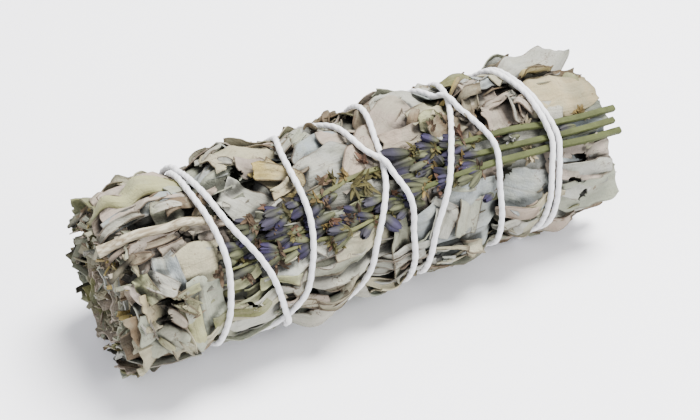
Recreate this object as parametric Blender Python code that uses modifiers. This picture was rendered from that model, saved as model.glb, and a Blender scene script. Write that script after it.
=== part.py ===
"""Dried white sage bunch with lavender sprigs, bound with cotton string.

The bunch lies along X. Its cut end is at -X and its leaf tips are at +X. Places on
its side are given as (x, angle): millimetres along the bunch, and degrees round it,
where 0 is the top, 90 the front (-Y), 180 the underside and 270 the back (+Y).
Design values are in millimetres and degrees, and meshes are made in metres.
"""
import math

import bmesh
import bpy
import numpy as np

# Driving dimensions of the bunch
MM = 0.001
AXIS_HEIGHT = 20.0
SIDE_RADIUS = 20.0
TIP_END_SWELL = 0.35
HALF_LENGTH = 57.0
CORE_DEPTH = 4.2
CORE_HALF_LENGTH = 50.0
UNROLL_RADIUS = 20.0

# Underside, pressed flat by the weight of the bunch
PRESSED_HEIGHT = 2.5
STRING_LOW_CENTRE = 1.15

# Leaves
BLADE_THICKNESS = 0.6
GAP = 0.3
LAYER_DEPTHS = (3.0, 2.1)
TIP_LIFT = 2.0
ROOT_SINK = 1.6
LEAF_ROLL = 1.1
LEAF_CRUMPLE = 0.2
OUTER_RECESS = 1.1

LEAF_GRID = (5, 3)
OUTER_LEAF_GRID = (7, 4)
EDGE_TEAR = 0.22
LEAF_SWAY = 0.05

# Cut end: rings of folded leaf ends, as ring radius and how many; and their sizes
CUT_END_RINGS = ((15.6, 7), (11.4, 5), (7.2, 3), (3.2, 1))
RIBBON_THICKNESS = 0.9
RIBBON_FOLD = 1.1
RIBBON_ARCS = (9.0, 13.0)
RIBBON_REACHES = (4.5, 8.0)

# Leaf tips at the other end, the same way
TIP_RINGS = ((15.2, 7), (10.4, 5), (5.2, 2))
TIP_THICKNESS = 0.8
TIP_REACHES = (3.0, 7.0)
TIP_WIDTHS = (8.0, 11.0)

# Cotton string
STRING_DIAMETER = 1.4
STRING_SIDES = 6
STRING_STEP = 5.9
FINE_STEP = 0.75
BITE_DEPTH = 1.5
BITE_WIDTH = 4.5
KNOT_ANGLE = 250.0
KNOT_X = -39.6

# Lavender band on the front, where the leaves lie lower: its angles, its start and its soft edges
BAND_DEPTH = 2.6
BAND_ANGLES = (24.0, 67.0)
BAND_START = -44.0
BAND_SOFTNESS = 2.5
LAVENDER_STEM_RADIUS = 0.8
STEM_STEP = 5.0
SAGE_STEM_RADIUS = 1.15

SEED = 9

# String route: total angle turned, then x. One turn is 360 degrees.
STRING_ROUTE = (
    (-110, -39.6), (-75, -38.9), (-50, -37.5), (-26, -36.3), (4, -36.4), (25, -35.0), (44, -32.8),
    (58, -30.5), (73, -28.4), (92, -26.7), (134, -23.4), (180, -19.0), (240, -12.8),
    (300, -6.4), (350, -1.7), (377, 0.6), (388, 3.0), (405, 4.4), (416, 5.2),
    (450, 5.0), (494, 5.2), (540, 8.4), (600, 14.0), (660, 20.4), (719, 24.8),
    (741, 26.8), (763, 28.6), (777, 27.8), (805, 27.1), (854, 28.2), (900, 31.0),
    (960, 34.6), (1020, 37.6), (1071, 39.6), (1106, 41.1), (1120, 42.1), (1131, 42.3),
    (1144, 41.2), (1160, 40.0), (1175, 39.3), (1195, 39.1), (1260, 39.8),
    (1320, 40.6), (1380, 41.2), (1431, 41.3), (1466, 42.8), (1480, 43.8), (1491, 44.0),
    (1504, 43.0), (1520, 41.8), (1546, 41.5), (1567, 41.6), (1620, 38.0), (1680, 33.2),
    (1740, 28.4), (1803, 24.2), (1824, 20.6), (1838, 17.8), (1865, 12.9), (1880, 10.7),
    (1903, 9.0), (1934, 9.0), (1980, 8.6), (2040, 8.0), (2100, 7.2), (2146, 6.2),
    (2170, 4.4), (2188, 3.2), (2202, 1.9), (2219, -1.0), (2239, -3.9), (2258, -5.6),
    (2283, -9.2), (2340, -11.2), (2400, -12.2), (2460, -12.9), (2492, -13.6), (2519, -16.2),
    (2571, -17.2), (2600, -19.3), (2615, -20.8), (2631, -24.5), (2652, -28.6), (2700, -32.6),
    (2760, -35.0), (2800, -35.6), (2835, -36.6), (2858, -37.9), (2887, -38.3), (2939, -36.9),
    (2968, -38.1), (2990, -39.7), (3040, -40.2), (3090, -40.0), (3130, -39.6),
)

# Outer leaves that stand out on the front and back, each a piece of its own:
# root x, root angle, tip x, tip angle, width, wave
OUTER_LEAVES = (
    (-39.5, 2, -57.5, -5, 7.0, 0.5),
    (-41.8, 69, -42.0, 104, 9.0, 0.6),
    (-36.0, 8, -22.5, 34, 8.5, 0.4),
    (-1.0, 17, 19.0, -9, 9.5, 0.6),
    (-1.5, 77, -25.5, 85, 7.5, 0.4),
    (7.5, 94, 27.0, 80, 10.0, 0.5),
    (39.0, -8, 58.0, -24, 12.0, 0.8),
    (38.5, 12, 58.5, 24, 12.0, 0.5),
    (41.0, 80, 57.0, 88, 9.0, 0.1),
    (-28.0, 292, -50.0, 300, 10.0, 0.6),
    (2.0, 262, -20.0, 250, 10.5, 0.5),
    (6.0, 312, 28.0, 300, 10.0, 0.6),
    (24.0, 238, 47.0, 246, 10.5, 0.6),
    (36.0, 296, 57.5, 290, 11.0, 0.7),
)

# Fused leaves of the front: root x, root angle, tip x, tip angle, width, layer
FRONT_LEAVES = (
    (-40.0, 14, -57.0, 15, 5.5, 1), (-40.0, 28, -56.0, 34, 6.0, 0), (-38.0, 44, -55.5, 46, 9.0, 1),
    (-36.0, 56, -55.0, 60, 8.5, 0), (-33.0, -6, -22.0, -8, 7.0, 1), (-24.0, 0, -16.0, 28, 7.5, 1),
    (-20.0, -26, -31.0, -6, 8.0, 0), (-16.0, -14, -6.0, -2, 8.0, 1), (-15.0, 20, -2.0, 8, 9.0, 1),
    (-18.0, 30, 0.0, 27, 8.0, 0), (2.0, -10, -12.0, -20, 8.0, 0), (8.0, 22, 22.0, 16, 8.0, 1),
    (4.0, -28, 18.0, -22, 9.0, 0), (14.0, 8, 30.0, -6, 8.5, 0), (33.0, -10, 33.5, 30, 9.0, 1),
    (30.0, 20, 44.0, 10, 8.0, 0), (27.0, -22, 44.0, -20, 10.0, 1), (40.0, 34, 57.5, 38, 8.0, 0),
    (27.0, 72, 44.0, 78, 11.0, 1), (40.0, 66, 56.0, 68, 8.5, 0), (38.0, 98, 57.5, 102, 10.0, 1),
    (24.0, 96, 40.0, 104, 11.0, 0), (5.0, 70, 26.0, 66, 8.0, 0), (2.5, 66, 4.0, 112, 7.0, 1),
    (2.0, 100, -20.0, 98, 8.0, 0), (-4.0, 112, 16.0, 116, 10.0, 0), (-38.0, 86, -56.0, 84, 9.0, 0),
    (-22.0, 70, -38.0, 74, 9.0, 0), (-18.0, 108, -38.0, 104, 9.0, 1), (-30.0, 124, -50.0, 120, 10.0, 0),
    (12.0, 128, 32.0, 126, 10.0, 1), (-12.0, 130, 6.0, 132, 9.0, 1), (34.0, 124, 54.0, 122, 10.0, 0),
)

# Back and underside, by a seeded rule on a staggered net of places
BACK_FIRST_ANGLE = 150.0
BACK_ROWS = 6
BACK_ROW_STEP = 30.0
BACK_LEAVES_A_ROW = 4
BACK_LEAF_LENGTH = 28.0
BACK_LEAF_WIDTH = 12.0

# Underside leaves that the bunch rests on, between the turns of string: first x, last x, half width
REST_LEAVES = ((-58.0, -42.2, 9.6), (-30.4, -21.2, 7.4), (-9.4, 6.4, 9.4),
               (11.2, 28.8, 9.6), (43.4, 58.0, 9.4))
REST_RIM_RISE = 1.2

# Lavender sprigs: stem points (x, angle) from the cut end to the flower head
LAVENDER_ROUTES = (
    ((60.4, 43), (52.0, 42), (42.0, 38.5), (30.0, 33), (18.0, 28), (3.0, 27)),
    ((58.8, 52), (50.0, 50.5), (40.0, 48), (28.0, 43.5), (18.0, 40), (8.0, 39)),
    ((60.6, 62), (50.0, 59), (38.0, 56), (26.0, 53), (13.0, 51), (1.0, 50.5)),
    ((5.0, 38), (-5.0, 35), (-13.0, 34), (-23.0, 36), (-33.0, 39)),
    ((-1.0, 48), (-9.0, 47), (-18.0, 47), (-28.0, 48), (-37.0, 51)),
    ((13.0, 63), (0.0, 62), (-13.0, 60), (-25.0, 60), (-37.0, 63.5)),
)
# Whorls of each sprig: how far along the stem the first and last whorl sit, and how many
LAVENDER_WHORLS = ((0.70, 1.0, 4), (0.66, 1.0, 4), (0.60, 1.0, 4), (0.35, 1.0, 4),
                   (0.16, 1.0, 5), (0.30, 1.0, 4))
CALYX_LENGTH = 4.4
CALYX_WIDTH = 1.6
CALYX_SPREAD = 4.0
CALYCES_A_WHORL = 3

# Sage stems: the ones inside, seen at the cut end (y, height, drilled depth), and the one outside
INNER_STEMS = ((-6.5, 24.5, 26.0), (3.5, 14.0, 30.0), (7.5, 27.0, 24.0), (-4.0, 11.0, 28.0))
OUTER_STEM_ROUTE = ((-59.8, 23.0), (-52.0, 26.5), (-44.0, 28.0), (-36.0, 29.5))


def smooth_steps(knots, values, at):
    """Cubic Hermite curve through (knots, values) with slopes from the neighbours."""
    knots, values = np.asarray(knots, float), np.asarray(values, float)
    slopes = np.gradient(values, knots)
    index = np.clip(np.searchsorted(knots, at) - 1, 0, len(knots) - 2)
    span = knots[index + 1] - knots[index]
    t = (at - knots[index]) / span
    return ((1 + 2 * t) * (1 - t) ** 2 * values[index] + t * (1 - t) ** 2 * span * slopes[index]
            + t * t * (3 - 2 * t) * values[index + 1] + t * t * (t - 1) * span * slopes[index + 1])


def string_line(step):
    """Total angle and x of points about a step apart along the string's route."""
    knots, xs = zip(*STRING_ROUTE)
    count = int((knots[-1] - knots[0]) * math.radians(1) * UNROLL_RADIUS / step)
    turned = np.linspace(knots[0], knots[-1], count + 1)
    return turned, smooth_steps(knots, xs, turned)


STRING_TURNED, STRING_X = string_line(1.5)


def string_distance(x, angle):
    """Distance over the side surface from each point to the nearest stretch of string."""
    dx = np.asarray(x, float)[..., None] - STRING_X
    turn = (np.asarray(angle, float)[..., None] - STRING_TURNED + 180.0) % 360.0 - 180.0
    return np.sqrt(dx ** 2 + (np.radians(turn) * UNROLL_RADIUS) ** 2).min(axis=-1)


def string_bite(x, angle):
    """How much the string presses on each place: 1 under it, 0 well away."""
    return np.exp(-(string_distance(x, angle) / BITE_WIDTH) ** 2)


def soft_step(value):
    """Smooth step from 0 to 1 about zero, as wide as the band's soft edge."""
    return 1.0 / (1.0 + np.exp(-value / BAND_SOFTNESS))


def lavender_band(x, angle):
    """1 inside the band that the lavender lies in, 0 outside it."""
    turn = (np.asarray(angle, float) + 180.0) % 360.0 - 180.0
    across = soft_step(turn - BAND_ANGLES[0]) * soft_step(BAND_ANGLES[1] - turn)
    return across * soft_step(np.asarray(x, float) - BAND_START)


def side_envelope(x, angle):
    """Radius that the leaves reach: the round side, less the string's bite and the lavender band."""
    radius = SIDE_RADIUS + TIP_END_SWELL * np.tanh(np.asarray(x, float) / (HALF_LENGTH / 2.0))
    return radius - BITE_DEPTH * string_bite(x, angle) - BAND_DEPTH * lavender_band(x, angle)


def pressed(radius, angle, lowest):
    """Radius cut back near the underside, so that nothing is lower than the given height."""
    down = -np.cos(np.radians(angle))
    limit = (AXIS_HEIGHT - lowest) / np.maximum(down, 1e-6)
    return np.where(down > 0.0, np.minimum(radius, limit), radius)


def to_space(x, angle, radius):
    """Points in millimetres from places on the side and their radius."""
    turn = np.radians(angle)
    return np.stack([x, -radius * np.sin(turn), AXIS_HEIGHT + radius * np.cos(turn)], axis=-1)


def outer_leaf_cover(x, angle):
    """1 where an outer leaf is to lie over the fused mass, 0 well away from all of them."""
    cover = np.zeros(np.broadcast(x, angle).shape)
    for root_x, root_angle, tip_x, tip_angle, width, _ in OUTER_LEAVES:
        half_x, half_turn = (tip_x - root_x) / 2.0, (tip_angle - root_angle) / 2.0
        half_s = math.radians(half_turn) * UNROLL_RADIUS
        half = math.hypot(half_x, half_s)
        dx = x - root_x - half_x
        turn = (np.asarray(angle, float) - root_angle - half_turn + 180.0) % 360.0 - 180.0
        ds = np.radians(turn) * UNROLL_RADIUS
        along = (dx * half_x + ds * half_s) / half ** 2
        across = (ds * half_x - dx * half_s) / half / (width / 2.0)
        cover = np.maximum(cover, np.exp(-0.5 * (along ** 2 + across ** 2) ** 2))
    return cover


def leaf_places(root_x, root_angle, tip_x, tip_angle, width, shape, rng):
    """Grid of places (x, angle) of a leaf: rows from root to tip, columns across it."""
    rows, columns = shape
    along = np.linspace(0.0, 1.0, rows)[:, None]
    across = np.linspace(-1.0, 1.0, columns)[None, :]
    root_s, tip_s = math.radians(root_angle) * UNROLL_RADIUS, math.radians(tip_angle) * UNROLL_RADIUS
    length = math.hypot(tip_x - root_x, tip_s - root_s)
    dir_x, dir_s = (tip_x - root_x) / length, (tip_s - root_s) / length
    outline = 0.34 + 0.66 * np.sin(math.pi * np.clip(along * 0.92 + 0.04, 0, 1)) ** 0.7
    outline = outline * (1.0 - 0.55 * along ** 6)
    edge = outline * (1.0 + EDGE_TEAR * rng.uniform(-1.0, 1.0, (rows, 1)))
    sway = LEAF_SWAY * length * rng.uniform(-1.0, 1.0) * np.sin(math.pi * along)
    offset = across * edge * width / 2.0 + sway
    x = root_x + dir_x * along * length - dir_s * offset
    s = root_s + dir_s * along * length + dir_x * offset
    return x, np.degrees(s / UNROLL_RADIUS), along + 0.0 * across, across + 0.0 * along


def grid_faces(rows, columns):
    """Triangles of a grid, each cell split the same way."""
    i, j = np.meshgrid(np.arange(rows - 1), np.arange(columns - 1), indexing="ij")
    corner = (i * columns + j).ravel()
    lower = np.stack([corner, corner + columns, corner + columns + 1], axis=-1)
    upper = np.stack([corner, corner + columns + 1, corner + 1], axis=-1)
    return np.concatenate([lower, upper]).tolist()


def new_object(name, points, faces, collection):
    """Mesh object from points in millimetres."""
    mesh = bpy.data.meshes.new(name)
    mesh.from_pydata((np.asarray(points) * MM).tolist(), [], faces)
    mesh.update()
    item = bpy.data.objects.new(name, mesh)
    collection.objects.link(item)
    return item


def apply_modifiers(item):
    """Replace an object's mesh by its evaluated one."""
    graph = bpy.context.evaluated_depsgraph_get()
    mesh = bpy.data.meshes.new_from_object(item.evaluated_get(graph))
    item.modifiers.clear()
    item.data = mesh
    return item


def face_outwards(item):
    """Weld doubles and point the faces out."""
    shape = bmesh.new()
    shape.from_mesh(item.data)
    bmesh.ops.remove_doubles(shape, verts=shape.verts, dist=1e-7)
    bmesh.ops.recalc_face_normals(shape, faces=shape.faces)
    if shape.calc_volume(signed=True) < 0.0:
        bmesh.ops.reverse_faces(shape, faces=shape.faces)
    shape.to_mesh(item.data)
    shape.free()
    return item


def blade(name, points, collection, thickness=BLADE_THICKNESS):
    """Closed blade: an open sheet of triangles with a Solidify wall."""
    rows, columns = points.shape[:2]
    item = new_object(name, points.reshape(-1, 3), grid_faces(rows, columns), collection)
    wall = item.modifiers.new("Wall", "SOLIDIFY")
    wall.thickness = thickness * MM
    wall.offset = 0.0
    return face_outwards(apply_modifiers(item))


def keep_largest_shell(item):
    """Drop loose scraps and the walls of sealed hollows, and keep the biggest outward shell."""
    shape = bmesh.new()
    shape.from_mesh(item.data)
    shape.faces.index_update()
    seen, shells = set(), []
    for start in shape.faces:
        if start.index in seen:
            continue
        seen.add(start.index)
        stack, shell = [start], []
        while stack:
            face = stack.pop()
            shell.append(face)
            for edge in face.edges:
                for other in edge.link_faces:
                    if other.index not in seen:
                        seen.add(other.index)
                        stack.append(other)
        shells.append(shell)
    shells.sort(key=len, reverse=True)
    for shell in shells[1:]:
        bmesh.ops.delete(shape, geom=shell, context="FACES")
    loose = [vert for vert in shape.verts if not vert.link_faces]
    bmesh.ops.delete(shape, geom=loose, context="VERTS")
    bmesh.ops.triangulate(shape, faces=shape.faces)
    shape.to_mesh(item.data)
    shape.free()


def fuse(item, loose):
    """Join a collection of loose solids into one object, then remove the loose ones."""
    join = item.modifiers.new("Fuse", "BOOLEAN")
    join.operation = "UNION"
    join.operand_type = "COLLECTION"
    join.collection = loose
    join.solver = "MANIFOLD"
    bpy.context.view_layer.update()
    apply_modifiers(item)
    for other in list(loose.objects):
        bpy.data.objects.remove(other)
    keep_largest_shell(item)
    return item


def cut(item, cutters):
    """Take a collection of cutters away from an object."""
    take = item.modifiers.new("Cut", "BOOLEAN")
    take.operation = "DIFFERENCE"
    take.operand_type = "COLLECTION"
    take.collection = cutters
    take.solver = "MANIFOLD"
    bpy.context.view_layer.update()
    apply_modifiers(item)
    keep_largest_shell(item)
    return item


class HeightField:
    """Highest radius that anything placed so far reaches, on a net of places on the side."""

    X_STEP = 0.75
    ANGLE_STEP = 2.0

    def __init__(self):
        self.xs = np.arange(-66.0, 66.0, self.X_STEP)
        self.angles = np.arange(0.0, 360.0, self.ANGLE_STEP)
        self.radius = np.zeros((len(self.xs), len(self.angles)))

    def add(self, item):
        """Raise the net to a mesh object's triangles, sampled closely."""
        item.data.calc_loop_triangles()
        points = np.empty(len(item.data.vertices) * 3)
        item.data.vertices.foreach_get("co", points)
        points = points.reshape(-1, 3) / MM
        corners = np.empty(len(item.data.loop_triangles) * 3, int)
        item.data.loop_triangles.foreach_get("vertices", corners)
        a, b, c = (points[corners.reshape(-1, 3)[:, k]] for k in range(3))
        size = 12
        for i in range(size + 1):
            for j in range(size + 1 - i):
                self.raise_to(a + (b - a) * i / size + (c - a) * j / size)

    def raise_to(self, points):
        """Raise the net to single points."""
        radius = np.hypot(points[:, 1], points[:, 2] - AXIS_HEIGHT)
        angle = np.degrees(np.arctan2(-points[:, 1], points[:, 2] - AXIS_HEIGHT)) % 360.0
        i = np.clip(np.round((points[:, 0] - self.xs[0]) / self.X_STEP), 0, len(self.xs) - 1)
        j = np.round(angle / self.ANGLE_STEP) % len(self.angles)
        np.maximum.at(self.radius, (i.astype(int), j.astype(int)), radius)

    def above(self, x, angle, reach):
        """Highest radius within a reach (mm) of each place."""
        steps_x = int(math.ceil(reach / self.X_STEP))
        steps_a = int(math.ceil(math.degrees(reach / UNROLL_RADIUS) / self.ANGLE_STEP))
        i = np.round((np.asarray(x, float) - self.xs[0]) / self.X_STEP).astype(int)
        j = np.round(np.asarray(angle, float) / self.ANGLE_STEP).astype(int)
        best = np.zeros(i.shape)
        for di in range(-steps_x, steps_x + 1):
            for dj in range(-steps_a, steps_a + 1):
                near = self.radius[np.clip(i + di, 0, len(self.xs) - 1), (j + dj) % len(self.angles)]
                best = np.maximum(best, near)
        return best


def side_leaf(name, values, layer, rng, collection):
    """Leaf of the fused mass: it follows the side, sinks at the root and lifts at the tip."""
    x, angle, along, across = leaf_places(*values, LEAF_GRID, rng)
    cover = outer_leaf_cover(x, angle)
    free = (1.0 - string_bite(x, angle)) * (1.0 - lavender_band(x, angle)) * (1.0 - cover)
    radius = side_envelope(x, angle) - LAYER_DEPTHS[layer] - OUTER_RECESS * cover
    radius += TIP_LIFT * free * along ** 2
    radius += free * LEAF_ROLL * across * rng.choice((-1.0, 1.0)) * rng.uniform(0.5, 1.0)
    radius -= ROOT_SINK * np.exp(-along / 0.12) + 0.3 * (1.0 - across ** 2)
    radius += LEAF_CRUMPLE * rng.uniform(-1.0, 1.0, radius.shape)
    radius = pressed(radius, angle, PRESSED_HEIGHT + BLADE_THICKNESS / 2.0 + 0.15 * rng.random())
    return blade(name, to_space(x, angle, radius), collection)


def rest_leaf(name, first_x, last_x, half_width, collection):
    """Pressed leaf of the underside: flat on the ground in its middle, its rim sloped up into the bunch."""
    rows = np.array([0.0, 0.24, 0.5, 0.76, 1.0])[:, None]
    columns = np.array([-1.0, -0.46, 0.0, 0.46, 1.0])[None, :]
    outline = np.array([0.42, 0.82, 1.0, 0.78, 0.3])[:, None]
    x = first_x + (last_x - first_x) * rows + 0.0 * columns
    y = half_width * outline * columns
    rim = (np.abs(columns) == 1.0) | (rows == 0.0) | (rows == 1.0)
    z = np.where(rim, PRESSED_HEIGHT + REST_RIM_RISE, 0.0) + BLADE_THICKNESS
    faces = grid_faces(*x.shape)
    item = new_object(name, np.stack([x, y, z], axis=-1).reshape(-1, 3), faces, collection)
    wall = item.modifiers.new("Wall", "SOLIDIFY")
    wall.thickness = BLADE_THICKNESS * MM
    wall.offset = -1.0
    face_outwards(apply_modifiers(item))
    ground = min(vert.co.z for vert in item.data.vertices)
    for vert in item.data.vertices:
        if vert.co.z < ground + 0.3 * MM:
            vert.co.z = 0.0
    return item


def end_ribbon(name, ring_radius, middle_angle, arc, reach, rng, collection):
    """Folded leaf end that stands out of the cut end: a wavy strip across the bunch's section."""
    t = np.linspace(-0.5, 0.5, 6)[None, :]
    angle = middle_angle + t * math.degrees(arc / ring_radius) + 0.0 * t
    wave = RIBBON_FOLD * np.sin(t * 9.0 + rng.uniform(0, 6.3))
    depth = np.array([[0.0], [1.0]])
    radius = ring_radius + wave + 0.5 * depth
    x = -(CORE_HALF_LENGTH - 3.0) - depth * (reach + 3.0 + 0.9 * np.sin(t * 7.0 + rng.uniform(0, 6.3)))
    angle = angle + 0.0 * depth
    points = to_space(x + 0.0 * t, angle, pressed(radius, angle, 1.4))
    return blade(name, points, collection, RIBBON_THICKNESS)


def tip_leaf(name, ring_radius, angle, reach, width, rng, collection):
    """Leaf tip that stands out of the right end, on a ring inside the bunch."""
    along = np.linspace(0.0, 1.0, 4)[:, None]
    across = np.linspace(-1.0, 1.0, 3)[None, :]
    outline = np.array([[0.8], [1.0], [0.85], [0.35]])
    turn = angle + across * outline * math.degrees(width / 2.0 / max(ring_radius, 5.0))
    radius = ring_radius + 0.9 * along - 0.5 * (1.0 - across ** 2) + 0.3 * rng.uniform(-1, 1, turn.shape)
    x = CORE_HALF_LENGTH - 6.0 + along * (reach + 6.0) + 0.0 * across
    return blade(name, to_space(x, turn, pressed(radius, turn, 1.2)), collection, TIP_THICKNESS)


def bunch_core(collection):
    """Packed middle of the bunch: a ribbed round body with rounded ends."""
    rings, sides = 11, 24
    along = np.linspace(-1.0, 1.0, rings)[:, None]
    turn = np.arange(sides)[None, :] * 360.0 / sides
    x = CORE_HALF_LENGTH * along + 0.0 * turn
    radius = side_envelope(x, turn) - CORE_DEPTH + 0.35 * np.sin(np.radians(turn * 5.0) + x * 0.12)
    radius = radius - 2.6 * np.abs(along) ** 8
    points = to_space(x, turn, pressed(radius, turn, PRESSED_HEIGHT + 0.7)).reshape(-1, 3)
    faces = []
    for ring in range(rings - 1):
        for side in range(sides):
            a, b = ring * sides + side, ring * sides + (side + 1) % sides
            faces += [(a, a + sides, b + sides), (a, b + sides, b)]
    item = new_object("sage_bundle", points, faces, collection)
    shape = bmesh.new()
    shape.from_mesh(item.data)
    for end in (-1.0, 1.0):
        rim = [edge for edge in shape.edges
               if edge.is_boundary and edge.verts[0].co.x * end > 0.0]
        cap = bmesh.ops.contextual_create(shape, geom=rim)["faces"]
        middle = bmesh.ops.poke(shape, faces=cap)["verts"]
        for vert in middle:
            vert.co.x += end * 2.0 * MM
    shape.to_mesh(item.data)
    shape.free()
    return face_outwards(item)


def back_leaves(rng):
    """Leaves of the back and underside: staggered rows, each leaf turned and sized by chance."""
    leaves = []
    for row in range(BACK_ROWS):
        angle = BACK_FIRST_ANGLE + row * BACK_ROW_STEP
        for place in range(BACK_LEAVES_A_ROW):
            middle = -44.0 + 88.0 * (place + 0.5 * (row % 2)) / (BACK_LEAVES_A_ROW - 0.5)
            middle += rng.uniform(-3.0, 3.0)
            half = 0.5 * BACK_LEAF_LENGTH * rng.uniform(0.8, 1.15)
            lean = rng.uniform(-9.0, 9.0)
            way = 1.0 if rng.random() < 0.7 else -1.0
            leaves.append((max(min(middle - way * half, 54.0), -54.0), angle - lean,
                           max(min(middle + way * half, 57.0), -57.0), angle + lean,
                           BACK_LEAF_WIDTH * rng.uniform(0.8, 1.15), (row + place) % 2))
    return leaves


def make_bundle(collection, scratch):
    """Fused mass of sage: core, side leaves, flat rest leaves, cut end and tips."""
    rng = np.random.default_rng(SEED)
    core = bunch_core(collection)
    for number, values in enumerate(FRONT_LEAVES + tuple(back_leaves(rng))):
        side_leaf(f"loose_leaf_{number}", values[:5], values[5], rng, scratch)
    for number, values in enumerate(REST_LEAVES):
        rest_leaf(f"loose_rest_{number}", *values, scratch)
    for ring, count in CUT_END_RINGS:
        for place in range(count):
            middle = 360.0 * (place + 0.5 * rng.random()) / count + ring * 8.0
            end_ribbon(f"loose_ribbon_{ring}_{place}", ring, middle, rng.uniform(*RIBBON_ARCS),
                       rng.uniform(*RIBBON_REACHES), rng, scratch)
    for ring, count in TIP_RINGS:
        for place in range(count):
            middle = 360.0 * (place + 0.4 * rng.random()) / count + ring * 11.0
            tip_leaf(f"loose_tip_{ring}_{place}", ring, middle, rng.uniform(*TIP_REACHES),
                     rng.uniform(*TIP_WIDTHS), rng, scratch)
    fuse(core, scratch)
    return core


def draped_leaf(name, values, field, rng, collection):
    """Outer leaf laid on everything below it, a gap clear, as a piece of its own."""
    x, angle, along, _ = leaf_places(*values[:5], OUTER_LEAF_GRID, rng)
    under = field.above(x, angle, 1.6)
    level = under + GAP + BLADE_THICKNESS / 2.0 + 0.25
    smooth = level
    for _ in range(2):
        padded = np.pad(smooth, 1, mode="edge")
        mean = (padded[:-2, 1:-1] + padded[2:, 1:-1] + padded[1:-1, :-2] + padded[1:-1, 2:]) / 4.0
        smooth = np.maximum(level, mean)
    radius = smooth + values[5] * along ** 3 + 0.15 * rng.random(x.shape)
    item = blade(name, to_space(x, angle, radius), collection)
    field.add(item)
    return item


def tube(name, points, radius, sides, collection):
    """Round rod along points in millimetres: a bevelled poly curve made a mesh."""
    curve = bpy.data.curves.new(name, "CURVE")
    curve.dimensions = "3D"
    curve.bevel_depth = radius * MM
    curve.bevel_resolution = max((sides - 4) // 2, 0)
    curve.use_fill_caps = True
    spline = curve.splines.new("POLY")
    spline.points.add(len(points) - 1)
    for target, point in zip(spline.points, np.asarray(points) * MM):
        target.co = (*point, 1.0)
    guide = bpy.data.objects.new(name + "_guide", curve)
    collection.objects.link(guide)
    bpy.context.view_layer.update()
    graph = bpy.context.evaluated_depsgraph_get()
    mesh = bpy.data.meshes.new_from_object(guide.evaluated_get(graph))
    mesh.name = name
    item = bpy.data.objects.new(name, mesh)
    item.matrix_world = guide.matrix_world
    collection.objects.link(item)
    bpy.data.objects.remove(guide)
    return face_outwards(item)


def upper_envelope(values, reach, blur):
    """Smooth curve that stays on or above the values: their local maximum, then a shorter mean."""
    count = len(values)
    padded = np.pad(values, reach, mode="edge")
    highest = np.max([padded[k:k + count] for k in range(2 * reach + 1)], axis=0)
    padded = np.pad(highest, blur, mode="edge")
    return np.mean([padded[k:k + count] for k in range(2 * blur + 1)], axis=0)


def lay_line(x, angle, field, radius):
    """Centre radius of a round line, given closely, laid over the field a gap clear."""
    under = np.maximum(field.above(x, angle, radius + 0.3), side_envelope(x, angle) - LAYER_DEPTHS[0])
    return upper_envelope(under, 4, 2) + GAP + radius + 0.15


def lay_string(turned, x, field, radius):
    """Centre radius of the string: over the field, and over itself where it crosses."""
    base = lay_line(x, turned, field, radius)
    slope = np.gradient(x, np.radians(turned) * UNROLL_RADIUS)
    apart = 2.0 * radius + 0.25
    centre = base
    for _ in range(4):
        wanted = base
        for turns in range(1, 10):
            later = turned + 360.0 * turns
            side = np.abs(np.interp(later, turned, x, right=999.0) - x) / np.sqrt(1.0 + slope ** 2)
            over = np.sqrt(np.maximum(apart ** 2 - side ** 2, 0.0))
            lower = np.interp(later, turned, centre)
            wanted = np.where(over > 0.0, np.maximum(wanted, lower + over), wanted)
        centre = upper_envelope(wanted, 4, 2)
    return centre


def make_string(field, collection, scratch):
    """Binding string: nine turns out and back, one over the other at crossings, and its knot."""
    radius = STRING_DIAMETER / 2.0
    fine_turned, fine_x = string_line(FINE_STEP)
    fine_centre = lay_string(fine_turned, fine_x, field, radius)
    turned, x = string_line(STRING_STEP)
    centre = pressed(np.interp(turned, fine_turned, fine_centre), turned, STRING_LOW_CENTRE)
    string = tube("binding_string", to_space(x, turned, centre), radius, STRING_SIDES, collection)
    knot_at = to_space(KNOT_X, KNOT_ANGLE, (centre[0] + centre[-1]) / 2.0 + 0.5)
    bpy.ops.mesh.primitive_ico_sphere_add(subdivisions=2, radius=1.9 * MM, location=knot_at * MM)
    knot = bpy.context.object
    knot.data.transform(knot.matrix_world)
    knot.matrix_world.identity()
    move_to(knot, scratch)
    for number, (dx, turn) in enumerate(((5.5, 14.0), (-4.5, 16.0))):
        steps = np.linspace(0.0, 1.0, 4)
        rise = (centre[0] + centre[-1]) / 2.0 + 0.9 + 0.5 * steps
        tube(f"loose_tail_{number}", to_space(KNOT_X + dx * steps, KNOT_ANGLE + turn * steps, rise),
             radius * 0.95, STRING_SIDES, scratch)
    fuse(string, scratch)
    return string


def move_to(item, collection):
    """Put an object in one collection only."""
    for other in list(item.users_collection):
        other.objects.unlink(item)
    collection.objects.link(item)


def calyx(name, foot, tip, width, collection):
    """Four-sided spindle from foot to tip."""
    foot, tip = np.asarray(foot), np.asarray(tip)
    axis = (tip - foot) / np.linalg.norm(tip - foot)
    side = np.cross(axis, [0.0, 0.3, 1.0])
    side = side / np.linalg.norm(side)
    other = np.cross(axis, side)
    middle = foot + (tip - foot) * 0.55
    ring = [middle + (side * math.cos(a) + other * math.sin(a)) * width / 2.0
            for a in (0.3, 1.87, 3.44, 5.01)]
    points = [foot, *ring, tip]
    faces = []
    for k in range(4):
        a, b = 1 + k, 1 + (k + 1) % 4
        faces += [(0, b, a), (5, a, b)]
    return face_outwards(new_object(name, points, faces, collection))


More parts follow.
